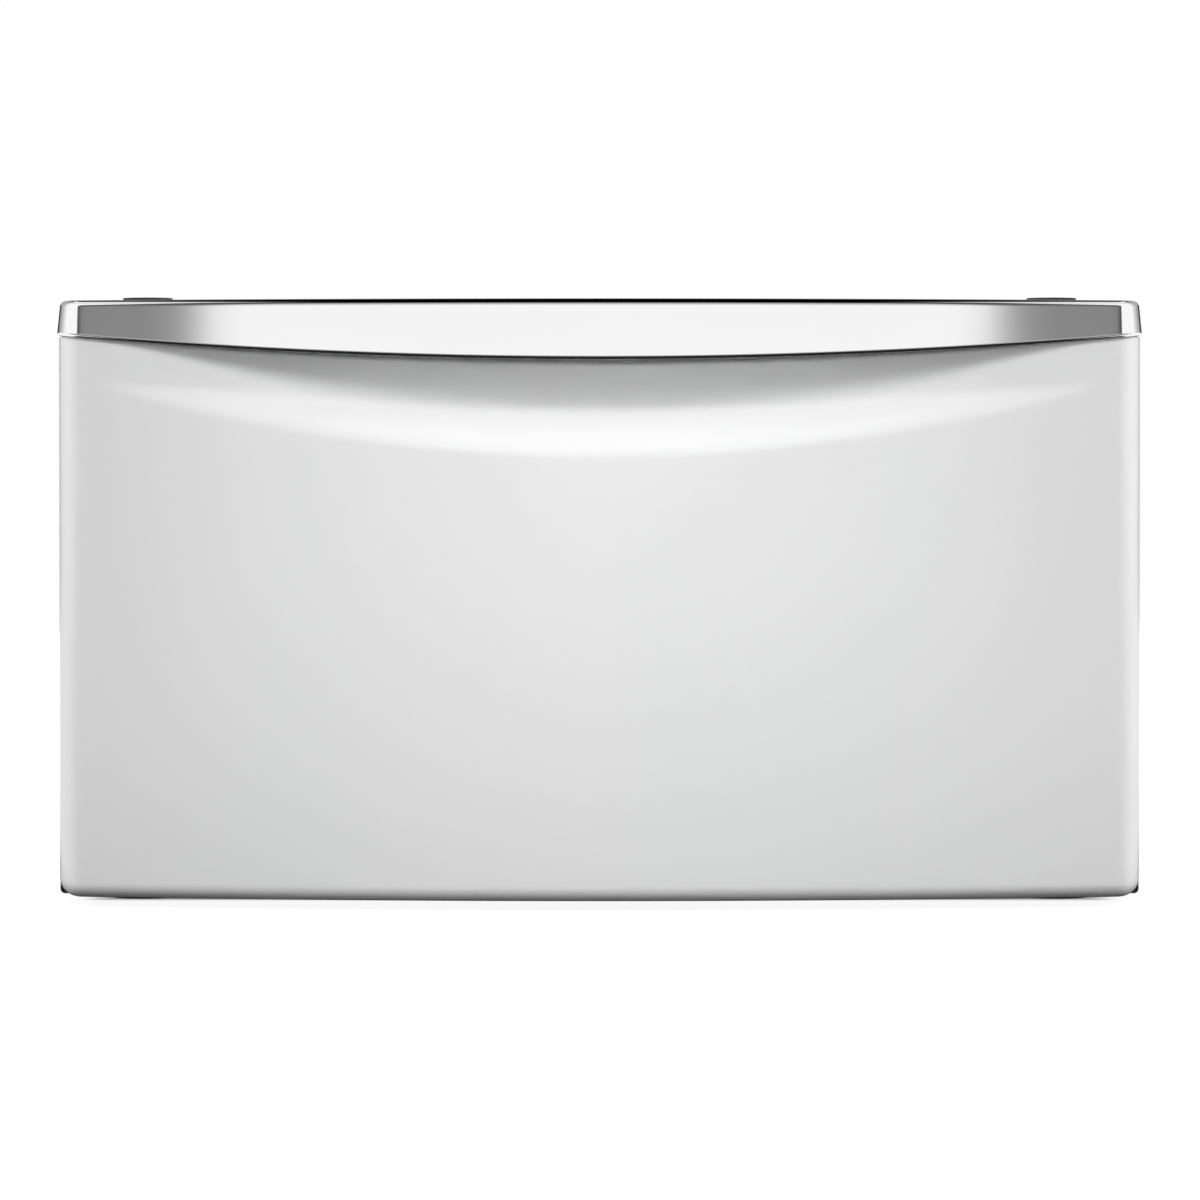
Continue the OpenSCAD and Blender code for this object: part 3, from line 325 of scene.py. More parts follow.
def surface(name, effect, colours, roughs, depth, metallic=0.0, dust=0.1, rub=0.3,
            rubbed=None, coat=0.0, **settings):
    """A finish: the effect's tone runs between two colours and its gloss between two
    roughnesses, its height lifts the surface by depth, and edges rub to their own colour."""
    made = bpy.data.materials.new(name)
    made.use_nodes = True
    tree = made.node_tree
    shader = tree.nodes["Principled BSDF"]
    shader.inputs["Metallic"].default_value = metallic
    shader.inputs["Coat Weight"].default_value = coat
    shader.inputs["Coat Roughness"].default_value = 0.05
    texture = wire(tree, "Group", node_tree=effect)
    for label, value in settings.items():
        texture.inputs[label].default_value = value
    dusty = wire(tree, "Group", node_tree=settled_dust)
    dusty.inputs["Amount"].default_value = dust
    worn = wire(tree, "Group", node_tree=rubbed_edges)
    worn.inputs["Amount"].default_value = rub

    def layer(factor, under, over):
        return wire(tree, "Mix", {0: factor, 6: under, 7: over}, data_type="RGBA").outputs[2]

    colour = layer(texture.outputs["Tone"], *colours)
    colour = layer(worn.outputs["Mask"], colour, rubbed or colours[1])
    colour = layer(dusty.outputs["Mask"], colour, dust_colour)
    tree.links.new(colour, shader.inputs["Base Color"])
    rough = wire(tree, "MapRange", {
        0: texture.outputs["Gloss"], 1: 0.3, 2: 0.7, 3: roughs[0], 4: roughs[1]})
    dull = wire(tree, "Math", {0: dusty.outputs["Mask"], 1: 0.5, 2: rough.outputs[0]},
                operation="MULTIPLY_ADD")
    tree.links.new(dull.outputs[0], shader.inputs["Roughness"])
    lift = wire(tree, "Bump", {
        "Strength": 1.0, "Distance": depth, "Height": texture.outputs["Height"]})
    tree.links.new(lift.outputs[0], shader.inputs["Normal"])
    return made


def put_on(piece, modifier, **settings):
    """Adds a modifier to the piece and applies it."""
    bpy.context.view_layer.objects.active = piece
    change = piece.modifiers.new(modifier.title(), modifier)
    for name, value in settings.items():
        setattr(change, name, value)
    bpy.ops.object.modifier_apply(modifier=change.name)
    return piece


def smooth(piece, degrees=35, flats=True):
    """Shades the rounded edges smooth, and keeps the flats between them flat."""
    bpy.ops.object.select_all(action="DESELECT")
    piece.select_set(True)
    bpy.context.view_layer.objects.active = piece
    bpy.ops.object.shade_smooth_by_angle(angle=radians(degrees))
    if flats:
        put_on(piece, "WEIGHTED_NORMAL", keep_sharp=True, weight=80)
    piece.select_set(False)
    return piece


def open_up(piece):
    """Opens the piece in edit mode with nothing selected."""
    bpy.ops.object.select_all(action="DESELECT")
    piece.select_set(True)
    bpy.context.view_layer.objects.active = piece
    bpy.ops.object.mode_set(mode="EDIT")
    bpy.ops.mesh.select_mode(type="VERT")
    bpy.ops.mesh.select_all(action="DESELECT")
    return bmesh.from_edit_mesh(piece.data)


def weld(piece, gap):
    """Opens the piece in edit mode and merges points that are less than a gap apart."""
    open_up(piece)
    bpy.ops.mesh.select_all(action="SELECT")
    bpy.ops.mesh.remove_doubles(threshold=gap)
    bpy.ops.mesh.select_all(action="DESELECT")


def fold_edges(mesh, wall):
    """The outer and the inner edges of the folds: long edges side by side, a wall apart."""
    shortest, sharp, sharpest = 0.004, radians(80), radians(100)
    square = [e for e in mesh.edges if e.is_manifold and e.calc_length() > shortest
              and sharp < abs(e.calc_face_angle_signed()) < sharpest]
    outer, inner = set(), set()
    for hollow in square:
        if hollow.calc_face_angle_signed() > 0:
            continue
        middle = (hollow.verts[0].co + hollow.verts[1].co) / 2
        way = (hollow.verts[1].co - hollow.verts[0].co).normalized()
        for edge in square:
            line = edge.verts[1].co - edge.verts[0].co
            if edge.calc_face_angle_signed() < 0 or abs(line.normalized().dot(way)) < 0.999:
                continue
            reach = middle - edge.verts[0].co
            along = reach.dot(line.normalized())
            gap = (reach - along * line.normalized()).length
            if 0 < along < line.length and abs(gap - wall * sqrt(2)) < 0.15 * wall:
                outer.add(edge)
                inner.add(hollow)
    return outer, inner


def finish_piece(piece, slot, finish, *sources):
    """Gives a piece its finish, and puts it on the body of the nodes that it stands for."""
    piece.data.materials.clear()
    piece.data.materials.append(finish)
    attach(piece, nodes[sources[0]]["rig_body"])
    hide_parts(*sources)
    return piece


def pressed(source, slot, finish, wall=sheet, fold=0.001, ease=0.0002, beads=(), joints=()):
    """Rounds the folds, pressed beads and cut edges of a merged copy of a sheet piece. Joints
    are planes, each a point and a way, that part the faces which run round an opening."""
    piece = bpy.data.objects.new(source + "_pressed", nodes[source].data.copy())
    bpy.context.scene.collection.objects.link(piece)
    weld(piece, 0.000002)
    for place, way in joints:
        bpy.ops.mesh.select_all(action="SELECT")
        bpy.ops.mesh.bisect(plane_co=place, plane_no=way)
        bpy.ops.mesh.mark_seam()
    bpy.ops.mesh.select_all(action="SELECT")
    bpy.ops.mesh.dissolve_limited(angle_limit=radians(1), delimit={"NORMAL", "SEAM"})
    mesh = bmesh.from_edit_mesh(piece.data)
    weight = mesh.edges.layers.float.new("bevel_weight_edge")
    widest = fold + wall
    if fold:
        outer, inner = fold_edges(mesh, wall)
        for edge in outer:
            edge[weight] = 1
        for edge in inner:
            edge[weight] = fold / widest
    for test, radius in beads:
        for edge in mesh.edges:
            if all(test(vertex.co) for vertex in edge.verts):
                edge[weight] = radius / widest
    bpy.ops.object.mode_set(mode="OBJECT")
    if fold or beads:
        put_on(piece, "BEVEL", width=widest, segments=4, limit_method="WEIGHT")
    put_on(piece, "BEVEL", width=ease, segments=2, limit_method="ANGLE", angle_limit=radians(40))
    open_up(piece)
    bpy.ops.mesh.select_all(action="SELECT")
    bpy.ops.mesh.vert_connect_concave()
    bpy.ops.object.mode_set(mode="OBJECT")
    return finish_piece(smooth(piece), slot, finish, source)


white_enamel = surface("white_enamel", sprayed_coat, (grey(0.82), grey(0.85)), (0.30, 0.38),
                       0.00003, dust=0.05, rub=0.25, rubbed=grey(0.72), Scale=420.0)
for side in ("left", "right"):
    pressed("side_panel_" + side, "enamel", white_enamel, fold=0.0012,
            joints=[((0, 0.02, 0), (0, 1, 0)), ((0, 0, 0.2), (0, 0, 1))])

# BACK PANEL
# One white coated sheet that closes the rear between the side panels. Three long beads are
# pressed into it to stop it drumming.
back_face, back_bead_face, back_bead_r = 0.3355, 0.333, 0.0012
pressed("back_panel", "enamel", white_enamel, fold=0, beads=[
    (lambda p: abs(p.y - back_face) < within and abs(p.x) < 0.3 and 0.05 < p.z < 0.34, back_bead_r),
    (lambda p: abs(p.y - back_bead_face) < within, back_bead_r)])

# RAILS, STIFFENER AND CORNER BRACKETS
# Channels and angles folded from galvanised strip: three rails between the side panels, a
# hat section spot-welded under the deck, and thick brackets that take the feet.


def zinc_spangle_effect():
    """Hot-dip zinc: flowery crystals 5 to 10 mm across, each with its own sheen."""
    group, given, result = start_effect("zinc_spangle", {"Scale": 130.0})
    place = wire(group, "TexCoord").outputs["Object"]
    ragged = wire(group, "TexNoise", {0: place, "Scale": 300.0, "Detail": 3.0})
    pull = wire(group, "VectorMath", {0: ragged.outputs[1], 1: (0.003, 0.003, 0.003), 2: place},
                operation="MULTIPLY_ADD")
    crystal = wire(group, "TexVoronoi", {0: pull.outputs[0], "Scale": given["Scale"]})
    parts = wire(group, "SeparateColor", {0: crystal.outputs["Color"]})
    frost = wire(group, "TexNoise", {0: place, "Scale": 1500.0, "Detail": 2.0})
    return put_out(group, result, parts.outputs[0], parts.outputs[1], frost.outputs[0])


zinc_spangle = zinc_spangle_effect()
galvanised = surface("galvanised_strip", zinc_spangle, (grey(0.50), grey(0.62)), (0.30, 0.48),
                     0.000008, metallic=1.0, dust=0.12, rub=0.5, rubbed=grey(0.72), Scale=130.0)
for name in ("front_top_rail", "front_bottom_rail", "rear_bottom_rail", "deck_stiffener"):
    pressed(name, "galvanised", galvanised)
for corner in ("fl", "fr", "rl", "rr"):
    pressed("corner_bracket_" + corner, "galvanised", galvanised, wall=0.003)

# TOP DECK
# A 1.5 mm white coated sheet with turned-down edges. Four beads stiffen it, and the
# appliance stands on four raised pads with a bolt hole through each.
bead_top, bead_r = 0.3855, 0.0014
pressed("top_deck", "enamel", white_enamel, wall=0.0015, beads=[
    (lambda p: abs(p.z - deck_z) < within and abs(p.x) < 0.32 and -0.23 < p.y < 0.32, bead_r),
    (lambda p: abs(p.z - bead_top) < within, bead_r)])

# DECK DISCS
# Black rubber rings glued to the pads, with two moulded grooves, so that the appliance's
# feet don't creep.
pad_x, pad_ys, disc_foot = 0.292, (-0.205, 0.285), 0.3865


def face_outwards():
    """Turns every face outwards and leaves edit mode."""
    bpy.ops.mesh.select_all(action="SELECT")
    bpy.ops.mesh.normals_make_consistent(inside=False)
    bpy.ops.object.mode_set(mode="OBJECT")


def turned(name, profile, steps=48, tube=False):
    """A round piece along Z, drawn up ring by ring from pairs of radius and height in mm.
    A tube's last ring joins its first, and any other piece is closed at both ends."""
    radius, height = profile[0]
    bpy.ops.mesh.primitive_circle_add(vertices=steps, radius=radius / 1000, location=(0, 0, 0))
    piece = bpy.context.object
    piece.name = name
    open_up(piece)
    bpy.ops.mesh.select_all(action="SELECT")
    bpy.ops.transform.translate(value=(0, 0, height / 1000))
    if not tube:
        bpy.ops.mesh.edge_face_add()
    for next_radius, next_height in profile[1:]:
        bpy.ops.mesh.extrude_region_move(
            TRANSFORM_OT_translate={"value": (0, 0, (next_height - height) / 1000)})
        size = next_radius / radius
        bpy.ops.transform.resize(value=(size, size, 1))
        radius, height = next_radius, next_height
    if tube:
        bpy.ops.mesh.select_non_manifold()
        bpy.ops.mesh.bridge_edge_loops()
    face_outwards()
    return piece


def spot(x, y, z, way=(0, 0, 1), turn=0):
    """A place for a piece made along Z: it is turned about itself, then points along way."""
    aim = Vector(way).to_track_quat("Z", "Y").to_matrix().to_4x4()
    return Matrix.Translation((x, y, z)) @ aim @ Matrix.Rotation(radians(turn), 4, "Z")


def set_out(master, name, spots):
    """Puts a copy of the master at each spot and joins the copies into one piece."""
    bpy.ops.object.select_all(action="DESELECT")
    for place in spots:
        copy = bpy.data.objects.new(name, master.data.copy())
        copy.data.transform(place)
        bpy.context.scene.collection.objects.link(copy)
        copy.select_set(True)
        bpy.context.view_layer.objects.active = copy
    bpy.ops.object.join()
    joined = bpy.context.object
    joined.name = name
    return joined


def throw_out(*masters):
    for master in masters:
        bpy.data.objects.remove(master)


def mould_grain_effect():
    """The fine spark-eroded grain of a moulded plastic or rubber piece."""
    group, given, result = start_effect("mould_grain", {"Scale": 1600.0})
    place = wire(group, "TexCoord").outputs["Object"]
    pits = wire(group, "TexVoronoi", {0: place, "Scale": given["Scale"]}, feature="SMOOTH_F1")
    cloud = wire(group, "TexNoise", {0: place, "Scale": 22.0, "Detail": 4.0})
    flow = wire(group, "TexNoise", {0: place, "Scale": 90.0, "Detail": 2.0})
    return put_out(group, result, cloud.outputs[0], flow.outputs[0], pits.outputs[0])


mould_grain = mould_grain_effect()
black_rubber = surface("black_rubber", mould_grain, (grey(0.014), grey(0.022)), (0.70, 0.85),
                       0.00008, dust=0.10, rub=0.4, rubbed=grey(0.05), Scale=1100.0)
disc = turned("disc", [
    (5.5, 0), (5.5, 1.2), (5.8, 1.5), (8.4, 1.5), (8.8, 1.1), (9.6, 1.1), (10, 1.5), (12.2, 1.5),
    (12.6, 1.1), (13.4, 1.1), (13.8, 1.5), (15.7, 1.5), (16, 1.2), (16, 0)], steps=64, tube=True)
discs = set_out(disc, "deck_disc_rings", [
    spot(x, y, disc_foot) for x in (-pad_x, pad_x) for y in pad_ys])
finish_piece(smooth(discs, 25), "black_rubber", black_rubber, "deck_discs")

# SHELL SCREWS
# Zinc-plated pan heads with a cross recess. They join the deck, the rails and the back to
# the side panels' folds.
screw_x, low_screw_z, top_screw_z = 0.332, 0.0217, 0.3653


def helix(name, crest, root, pitch, low, high):
    """A threaded rod along Z from low to high: a tooth swept up a screw, cut off flat."""
    bpy.ops.mesh.primitive_plane_add(size=1, location=(0, 0, 0))
    rod = bpy.context.object
    rod.name = name
    mesh = open_up(rod)
    bpy.ops.mesh.select_all(action="SELECT")
    bpy.ops.mesh.delete(type="ONLY_FACE")
    mesh = bmesh.from_edit_mesh(rod.data)
    start = low - 1.5 * pitch
    crest_from, crest_to = 0.38 * pitch, 0.62 * pitch
    tooth = [(root, 0), (crest, crest_from), (crest, crest_to), (root, pitch)]
    mesh.verts.ensure_lookup_table()
    ring = list(mesh.verts)
    for edge in list(mesh.edges):
        mesh.edges.remove(edge)
    for vertex, (radius, height) in zip(ring, tooth):
        vertex.co = (radius, 0, start + height)
    for first, second in zip(ring, ring[1:]):
        mesh.edges.new((first, second))
    bpy.ops.object.mode_set(mode="OBJECT")
    turns = int((high - low) / pitch) + 3
    put_on(rod, "SCREW", angle=2 * pi, screw_offset=pitch, iterations=turns, steps=16,
           render_steps=16, axis="Z", use_normal_calculate=True)
    weld(rod, 0.00002)
    for height, clear_above in ((high, True), (low, False)):
        bpy.ops.mesh.select_all(action="SELECT")
        bpy.ops.mesh.bisect(plane_co=(0, 0, height), plane_no=(0, 0, 1), use_fill=True,
                            clear_outer=clear_above, clear_inner=not clear_above)
    face_outwards()
    return rod


def cut_away(piece, tool, way="DIFFERENCE"):
    return put_on(piece, "BOOLEAN", object=tool, operation=way, solver="EXACT")


def join_to(piece, *others):
    bpy.ops.object.select_all(action="DESELECT")
    for other in others + (piece,):
        other.select_set(True)
    bpy.context.view_layer.objects.active = piece
    bpy.ops.object.join()
    return piece


def pan_screw(name, length):
    """A pan-head screw that points down from its head's underside at the origin."""
    recess, recess_z, slender, short = (0.0038, 0.0008, 0.0016), 0.0015, 0.6, 0.45
    head = turned(name, [
        (4, 0), (4, 0.55), (3.8, 0.95), (3.3, 1.35), (2.5, 1.65), (1.6, 1.8)], steps=32)
    for turn, taper in ((0, (short, slender, 1)), (90, (slender, short, 1))):
        bpy.ops.mesh.primitive_cube_add(
            size=1, location=(0, 0, recess_z), rotation=(0, 0, radians(turn)))
        blade = bpy.context.object
        blade.scale = recess
        bpy.ops.object.transform_apply()
        mesh = open_up(blade)
        for face in mesh.faces:
            face.select_set(face.normal.z < -0.9)
        bpy.ops.transform.resize(value=taper)
        bpy.ops.object.mode_set(mode="OBJECT")
        cut_away(head, blade)
        throw_out(blade)
    shank = helix("shank", 0.002, 0.0016, 0.0009, -length, 0.0002)
    return smooth(join_to(head, shank), 30)


def turned_metal_effect():
    """Drawn or rolled metal: fine lines along one way, with a soft cloud over them."""
    group, given, result = start_effect("turned_metal", {"Stretch": (1.0, 1.0, 1.0)})
    place = wire(group, "TexCoord").outputs["Object"]
    drawn = wire(group, "VectorMath", {0: place, 1: given["Stretch"]}, operation="MULTIPLY")
    lines = wire(group, "TexNoise", {0: drawn.outputs[0], "Scale": 900.0, "Detail": 3.0})
    cloud = wire(group, "TexNoise", {0: place, "Scale": 45.0, "Detail": 4.0})
    return put_out(group, result, cloud.outputs[0], lines.outputs[0], lines.outputs[0])


turned_metal = turned_metal_effect()
screw_zinc = surface("screw_zinc", turned_metal, (grey(0.60), grey(0.72)), (0.22, 0.38),
                     0.000006, metallic=1.0, dust=0.05, rub=0.5, rubbed=grey(0.80))
deck_screw = pan_screw("deck_screw", 0.0047)
back_screw = pan_screw("back_screw", 0.0044)
deck_screws = set_out(deck_screw, "deck_screw_set", [
    spot(side * screw_x, y, deck_z, turn=37 * i + 20 * side)
    for side in (-1, 1) for i, y in enumerate((-0.1534, 0.0455, 0.2444))])
finish_piece(deck_screws, "zinc_hardware", screw_zinc, "deck_screws")
rail_screws = set_out(deck_screw, "rail_screw_set", [
    spot(side * screw_x, shell_y, z, (0, -1, 0), 25 + 50 * side + 1000 * z)
    for side in (-1, 1) for z in (low_screw_z, top_screw_z)])
finish_piece(rail_screws, "zinc_hardware", screw_zinc, "rail_screws")
back_screws = set_out(back_screw, "back_screw_set", [
    spot(side * screw_x, back_face, z, (0, 1, 0), 15 + 40 * side + 700 * z)
    for side in (-1, 1) for z in (low_screw_z, 0.36 * deck_z, 0.64 * deck_z, 0.92 * deck_z)])
finish_piece(back_screws, "zinc_hardware", screw_zinc, "back_screws")
throw_out(deck_screw, back_screw)

# BUMPERS
# Four black rubber buttons pushed into the shell's front folds. The drawer front closes
# against them.
bumper = turned("bumper", [
    (5, 0), (5, 1.5), (4.7, 2.1), (4, 2.5), (3, 2.7), (1.3, 2.7), (0.9, 2.3)], steps=32)
bumpers = set_out(bumper, "bumper_buttons", [
    spot(x, shell_y, up * deck_z, (0, -1, 0)) for x in (-screw_x, screw_x) for up in (0.2, 0.8)])
finish_piece(smooth(bumpers, 30), "black_rubber", black_rubber, "drawer_bumpers")
throw_out(bumper, disc)

# LEVELLING FEET
# An M10 stud with a hex collar in a fluted rubber foot at each corner. It screws up through
# a hex nut that is welded on the corner bracket.
foot_x, foot_ys, nut_across, nut_foot = 0.295, (-0.195, 0.286), 17, 14.2


def hex_block(name, across, low, high):
    """A hexagon with its corners turned off at both ends; heights are in mm."""
    bpy.ops.mesh.primitive_cylinder_add(
        vertices=6, radius=across / 2000 / cos(pi / 6), depth=(high - low) / 1000,
        location=(0, 0, (low + high) / 2000), rotation=(0, 0, pi / 6))
    block = bpy.context.object
    block.name = name
    bpy.ops.object.transform_apply()
    face, corner = across / 2 - 0.2, across / 2 / cos(pi / 6) + 0.1
    barrel = turned("barrel", [
        (face, low), (corner, low + 0.9), (corner, high - 0.9), (face, high)], 64)
    cut_away(block, barrel, "INTERSECT")
    throw_out(barrel)
    return block


nut = hex_block("nut", nut_across, 0, 8)
bore = turned("bore", [(6.2, -1), (6.2, 0), (5.05, 0.9), (5.05, 7.1), (6.2, 8), (6.2, 9)], 32)
cut_away(nut, bore)
nuts = set_out(smooth(nut, 25), "foot_weld_nuts", [
    spot(x, y, nut_foot / 1000) for x in (-foot_x, foot_x) for y in foot_ys])
finish_piece(nuts, "zinc_hardware", screw_zinc, "foot_nuts")
throw_out(nut, bore)

stud = hex_block("stud", nut_across, 6, 10.9)
thread = helix("thread", 0.005, 0.0042, 0.0015, 0.0107, 0.036)
smooth(join_to(stud, thread), 25)

foot = turned("foot", [
    (9, 0.8), (11, 0.8), (11.6, 0), (14.4, 0), (15, 0.8), (17.2, 0.8), (17.8, 0), (21.6, 0),
    (23, 0.9), (23, 3.5), (22.4, 4.2), (20.3, 5.7), (19.6, 6), (9, 6)], 72)
flute_edge, flute_depth, flute_r = 0.0003, 0.0007, 0.022
mesh = open_up(foot)
bpy.ops.mesh.select_mode(type="FACE")
side_faces = sorted(
    (f for f in mesh.faces
     if abs(f.normal.z) < 0.05 and f.calc_center_median().xy.length > flute_r),
    key=lambda f: atan2(f.calc_center_median().y, f.calc_center_median().x))
for face in side_faces[::3]:
    face.select_set(True)
bpy.ops.mesh.inset(thickness=flute_edge, depth=-flute_depth, use_individual=True)
bpy.ops.object.mode_set(mode="OBJECT")
smooth(foot, 30)
for corner, x, y in (("fl", -foot_x, foot_ys[0]), ("fr", foot_x, foot_ys[0]),
                     ("rl", -foot_x, foot_ys[1]), ("rr", foot_x, foot_ys[1])):
    finish_piece(set_out(stud, "foot_thread_" + corner, [spot(x, y, 0)]),
                 "zinc_hardware", screw_zinc, "foot_stud_" + corner)
    finish_piece(set_out(foot, "foot_rubber_" + corner, [spot(x, y, 0)]),
                 "black_rubber", black_rubber, "foot_pad_" + corner)
throw_out(stud, foot)

# SLIDE SUPPORTS
# Galvanised hat channels, spot-welded to the side panels, that carry the slides at the
# drawer's width.
for side in ("left", "right"):
    pressed("slide_support_" + side, "galvanised", galvanised)

# BALL-BEARING SLIDES
# Each slide is three roll-formed members of bright zinc-plated steel that nest and run out
# on two cages of steel balls. The grooves are the ball races.
slide_x, slide_z = 0.317, 0.170
zinc_strip = surface("zinc_strip", turned_metal, (grey(0.60), grey(0.70)), (0.24, 0.40),
                     0.000005, metallic=1.0, dust=0.04, rub=0.5, rubbed=grey(0.78),
                     Stretch=(1.0, 0.015, 1.0))


def roll_corner(up, depth, height, radius):
    """A bent edge that runs along a slide, depth from its back and height from its centre."""
    return (lambda p: abs(slide_x - abs(p.x) - depth) < within
            and abs(p.z - slide_z - up * height) < within, radius)


for side in ("left", "right"):
    for member, corners in (
            ("slide_outer_", ((0, 0.02285, 0.002), (0.0012, 0.02125, 0.0006))),
            ("slide_middle_", ((0.0022, 0.01755, 0.002), (0.0034, 0.01595, 0.0006))),
            ("slide_inner_", ((0.0127, 0.01225, 0.002), (0.0115, 0.01065, 0.0006)))):
        pressed(member + side, "slide_steel", zinc_strip, fold=0, wall=0.002, ease=0.00015,
                beads=[roll_corner(up, *corner) for corner in corners for up in (-1, 1)])

# BALL CAGES AND BALLS
# Thin cage strips in yellow passivated steel keep the rows of polished balls apart.
cage_gold = surface("cage_gold", turned_metal, ((0.55, 0.42, 0.16, 1), (0.66, 0.50, 0.24, 1)),
                    (0.25, 0.40), 0.000004, metallic=1.0, dust=0.03, rub=0.5,
                    rubbed=grey(0.65), Stretch=(1.0, 0.03, 1.0))
ball_steel = surface("ball_steel", turned_metal, (grey(0.72), grey(0.80)), (0.06, 0.14), 0.000002,
                     metallic=1.0, dust=0.0, rub=0.0)
ball_across, ball_pitch, ball_depth = 0.0044, 0.044, 0.00665
bpy.ops.mesh.primitive_cube_add(size=ball_across, location=(0, 0, 0))
ball = bpy.context.object
open_up(ball)
bpy.ops.mesh.select_all(action="SELECT")
bpy.ops.mesh.subdivide(number_cuts=7)
bpy.ops.transform.tosphere(value=1.0)
bpy.ops.object.mode_set(mode="OBJECT")
ball.data.transform(Matrix.Scale(ball_across / max(ball.dimensions), 4))
smooth(ball, 60, flats=False)
for side, way in (("left", -1), ("right", 1)):
    for row, height in (("outer", 0.0194), ("inner", 0.0141)):
        pressed("ball_cage_" + row + "_" + side, "cage_brass", cage_gold, fold=0, ease=0.0001)
        first_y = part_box("balls_" + row + "_" + side)[0][1] + ball_across / 2
        balls = set_out(ball, "ball_row_" + row + "_" + side, [
            spot(way * (slide_x - ball_depth), first_y + k * ball_pitch, slide_z + up * height)
            for k in range(6) for up in (-1, 1)])
        finish_piece(balls, "ball_steel", ball_steel, "balls_" + row + "_" + side)
throw_out(ball)

# RELEASE LEVERS
# Black moulded levers in the inner members, each on a pin. Pressing them lets the drawer
# lift off its slides.
black_plastic = surface("black_plastic", mould_grain, (grey(0.012), grey(0.018)), (0.38, 0.52),
                        0.00005, dust=0.08, rub=0.5, rubbed=grey(0.05), Scale=1700.0)
lever_y, drawer_x = -0.059, 0.3043
for side in ("left", "right"):
    pressed("release_lever_" + side, "black_plastic", black_plastic, fold=0, ease=0.0006)
pin = turned("pin", [(2, 0), (2, 6.9), (1.6, 7.3)], 24)
pins = set_out(pin, "lever_pins", [
    spot(way * drawer_x, lever_y, slide_z, (way, 0, 0)) for way in (-1, 1)])
finish_piece(smooth(pins, 30), "zinc_hardware", screw_zinc, "lever_rivets")
throw_out(pin)

# SLIDE RIVETS
# Four blind rivets with domed heads hold each slide's outer member to its support.
rivet_ys = (-0.214, -0.084, 0.096, 0.226)
rivet = turned("rivet", [(1.9, -2.4), (2, -2.2), (2, 0), (4, 0), (4, 0.45), (3.6, 1.1), (2.6, 1.65),
                         (1.6, 1.8), (1.2, 1.8), (1.2, 0.9)], 32)
rivets = set_out(rivet, "slide_rivet_set", [
    spot(way * (slide_x + sheet), y, slide_z, (way, 0, 0)) for way in (-1, 1) for y in rivet_ys])
finish_piece(smooth(rivets, 30), "zinc_hardware", screw_zinc, "slide_rivets")
throw_out(rivet)

# DRAWER BOX
# Five light grey coated steel sheets: two sides folded at top and foot, a front and a back
# wall with a hooked lip each, and a bottom with five pressed beads.
drawer_floor, bead_rise = 0.0412, 0.0025
drawer_enamel = surface("drawer_enamel", sprayed_coat, (grey(0.70), grey(0.74)), (0.34, 0.44),
                        0.00004, dust=0.12, rub=0.4, rubbed=grey(0.60), Scale=480.0)
for side in ("left", "right"):
    pressed("drawer_side_" + side, "drawer_steel", drawer_enamel)
pressed("drawer_front_wall", "drawer_steel", drawer_enamel)
pressed("drawer_back", "drawer_steel", drawer_enamel)
bottom_top = drawer_floor + sheet
pressed("drawer_bottom", "drawer_steel", drawer_enamel, fold=0, beads=[
    (lambda p: abs(p.z - bottom_top) < within and abs(p.x) < 0.28 and -0.23 < p.y < 0.23, bead_r),
    (lambda p: abs(p.z - bottom_top - bead_rise) < within, bead_r)])

# DRAWER SCREWS
# Pan heads inside the drawer: four through each side into a slide's inner member, and
# eight through the front wall into the drawer front.
front_screw_xs, front_screw_zs = (-0.21217, -0.06971, 0.06971, 0.21217), (0.0868, 0.2532)
front_wall_in = -0.2488
short_screw = pan_screw("short_screw", 0.0024)
slide_screws = set_out(short_screw, "slide_screw_set", [
    spot(way * (drawer_x - sheet), y, slide_z, (-way, 0, 0), 30 + 900 * y)
    for way in (-1, 1) for y in rivet_ys])
finish_piece(slide_screws, "zinc_hardware", screw_zinc, "drawer_slide_screws")
long_screw = pan_screw("long_screw", 0.0172)
front_screws = set_out(long_screw, "front_screw_set", [
    spot(x, front_wall_in, z, (0, 1, 0), 300 * x + 100 * z)
    for x in front_screw_xs for z in front_screw_zs])
finish_piece(front_screws, "zinc_hardware", screw_zinc, "drawer_front_screws")
throw_out(short_screw, long_screw)

# DIVIDER AND CLIPS
# A satin white moulded sheet with six finger slots. It hangs by two black clips that hook
# on the lips of the front and back walls, and slides sideways along them.
divider_white = surface("divider_white", mould_grain, (grey(0.74), grey(0.78)), (0.40, 0.50),
                        0.00002, dust=0.05, rub=0.3, rubbed=grey(0.66), Scale=2200.0)
pressed("divider", "divider_plastic", divider_white, fold=0, ease=0.0009)
pressed("divider_clips", "black_plastic", black_plastic, fold=0, ease=0.0006)

# FRONT PANEL
# A bowed shell moulded in plastic and painted gloss white, 3 mm thick. A finger pocket is
# sunk in it under the handle, its top edge is rounded where the handle's edge lies on it,
# and screw bosses stand behind it.
front_rear_y, face_y, bow = -0.252, -0.335, 0.045
edge_r, panel_wall, lap_step, seat = 0.018, 0.003, 0.004, 0.0003
lower_edge_r, lower_corner_r, panel_foot = 0.009, 0.0125, 0.006
pocket_depth, pocket_drop, pocket_slope = 0.0316, 0.029, 1.2
pocket_rim, pocket_crease = 0.009, 0.005
handle_top, handle_edge, edge_rise, handle_x = 0.384, 0.346, 0.016, 0.344
shelf_under, least_corner, joint_r = 0.3815, 0.0008, 0.0024
bow_r = (half_w ** 2 + bow ** 2) / (2 * bow)
bow_axis = face_y + bow_r
bow_swing = atan2(sqrt((bow_r - edge_r) ** 2 - (half_w - edge_r) ** 2), half_w - edge_r)
corner_steps, bow_steps, foot_steps = 14, 150, 14
panel_boss_x = 0.3365
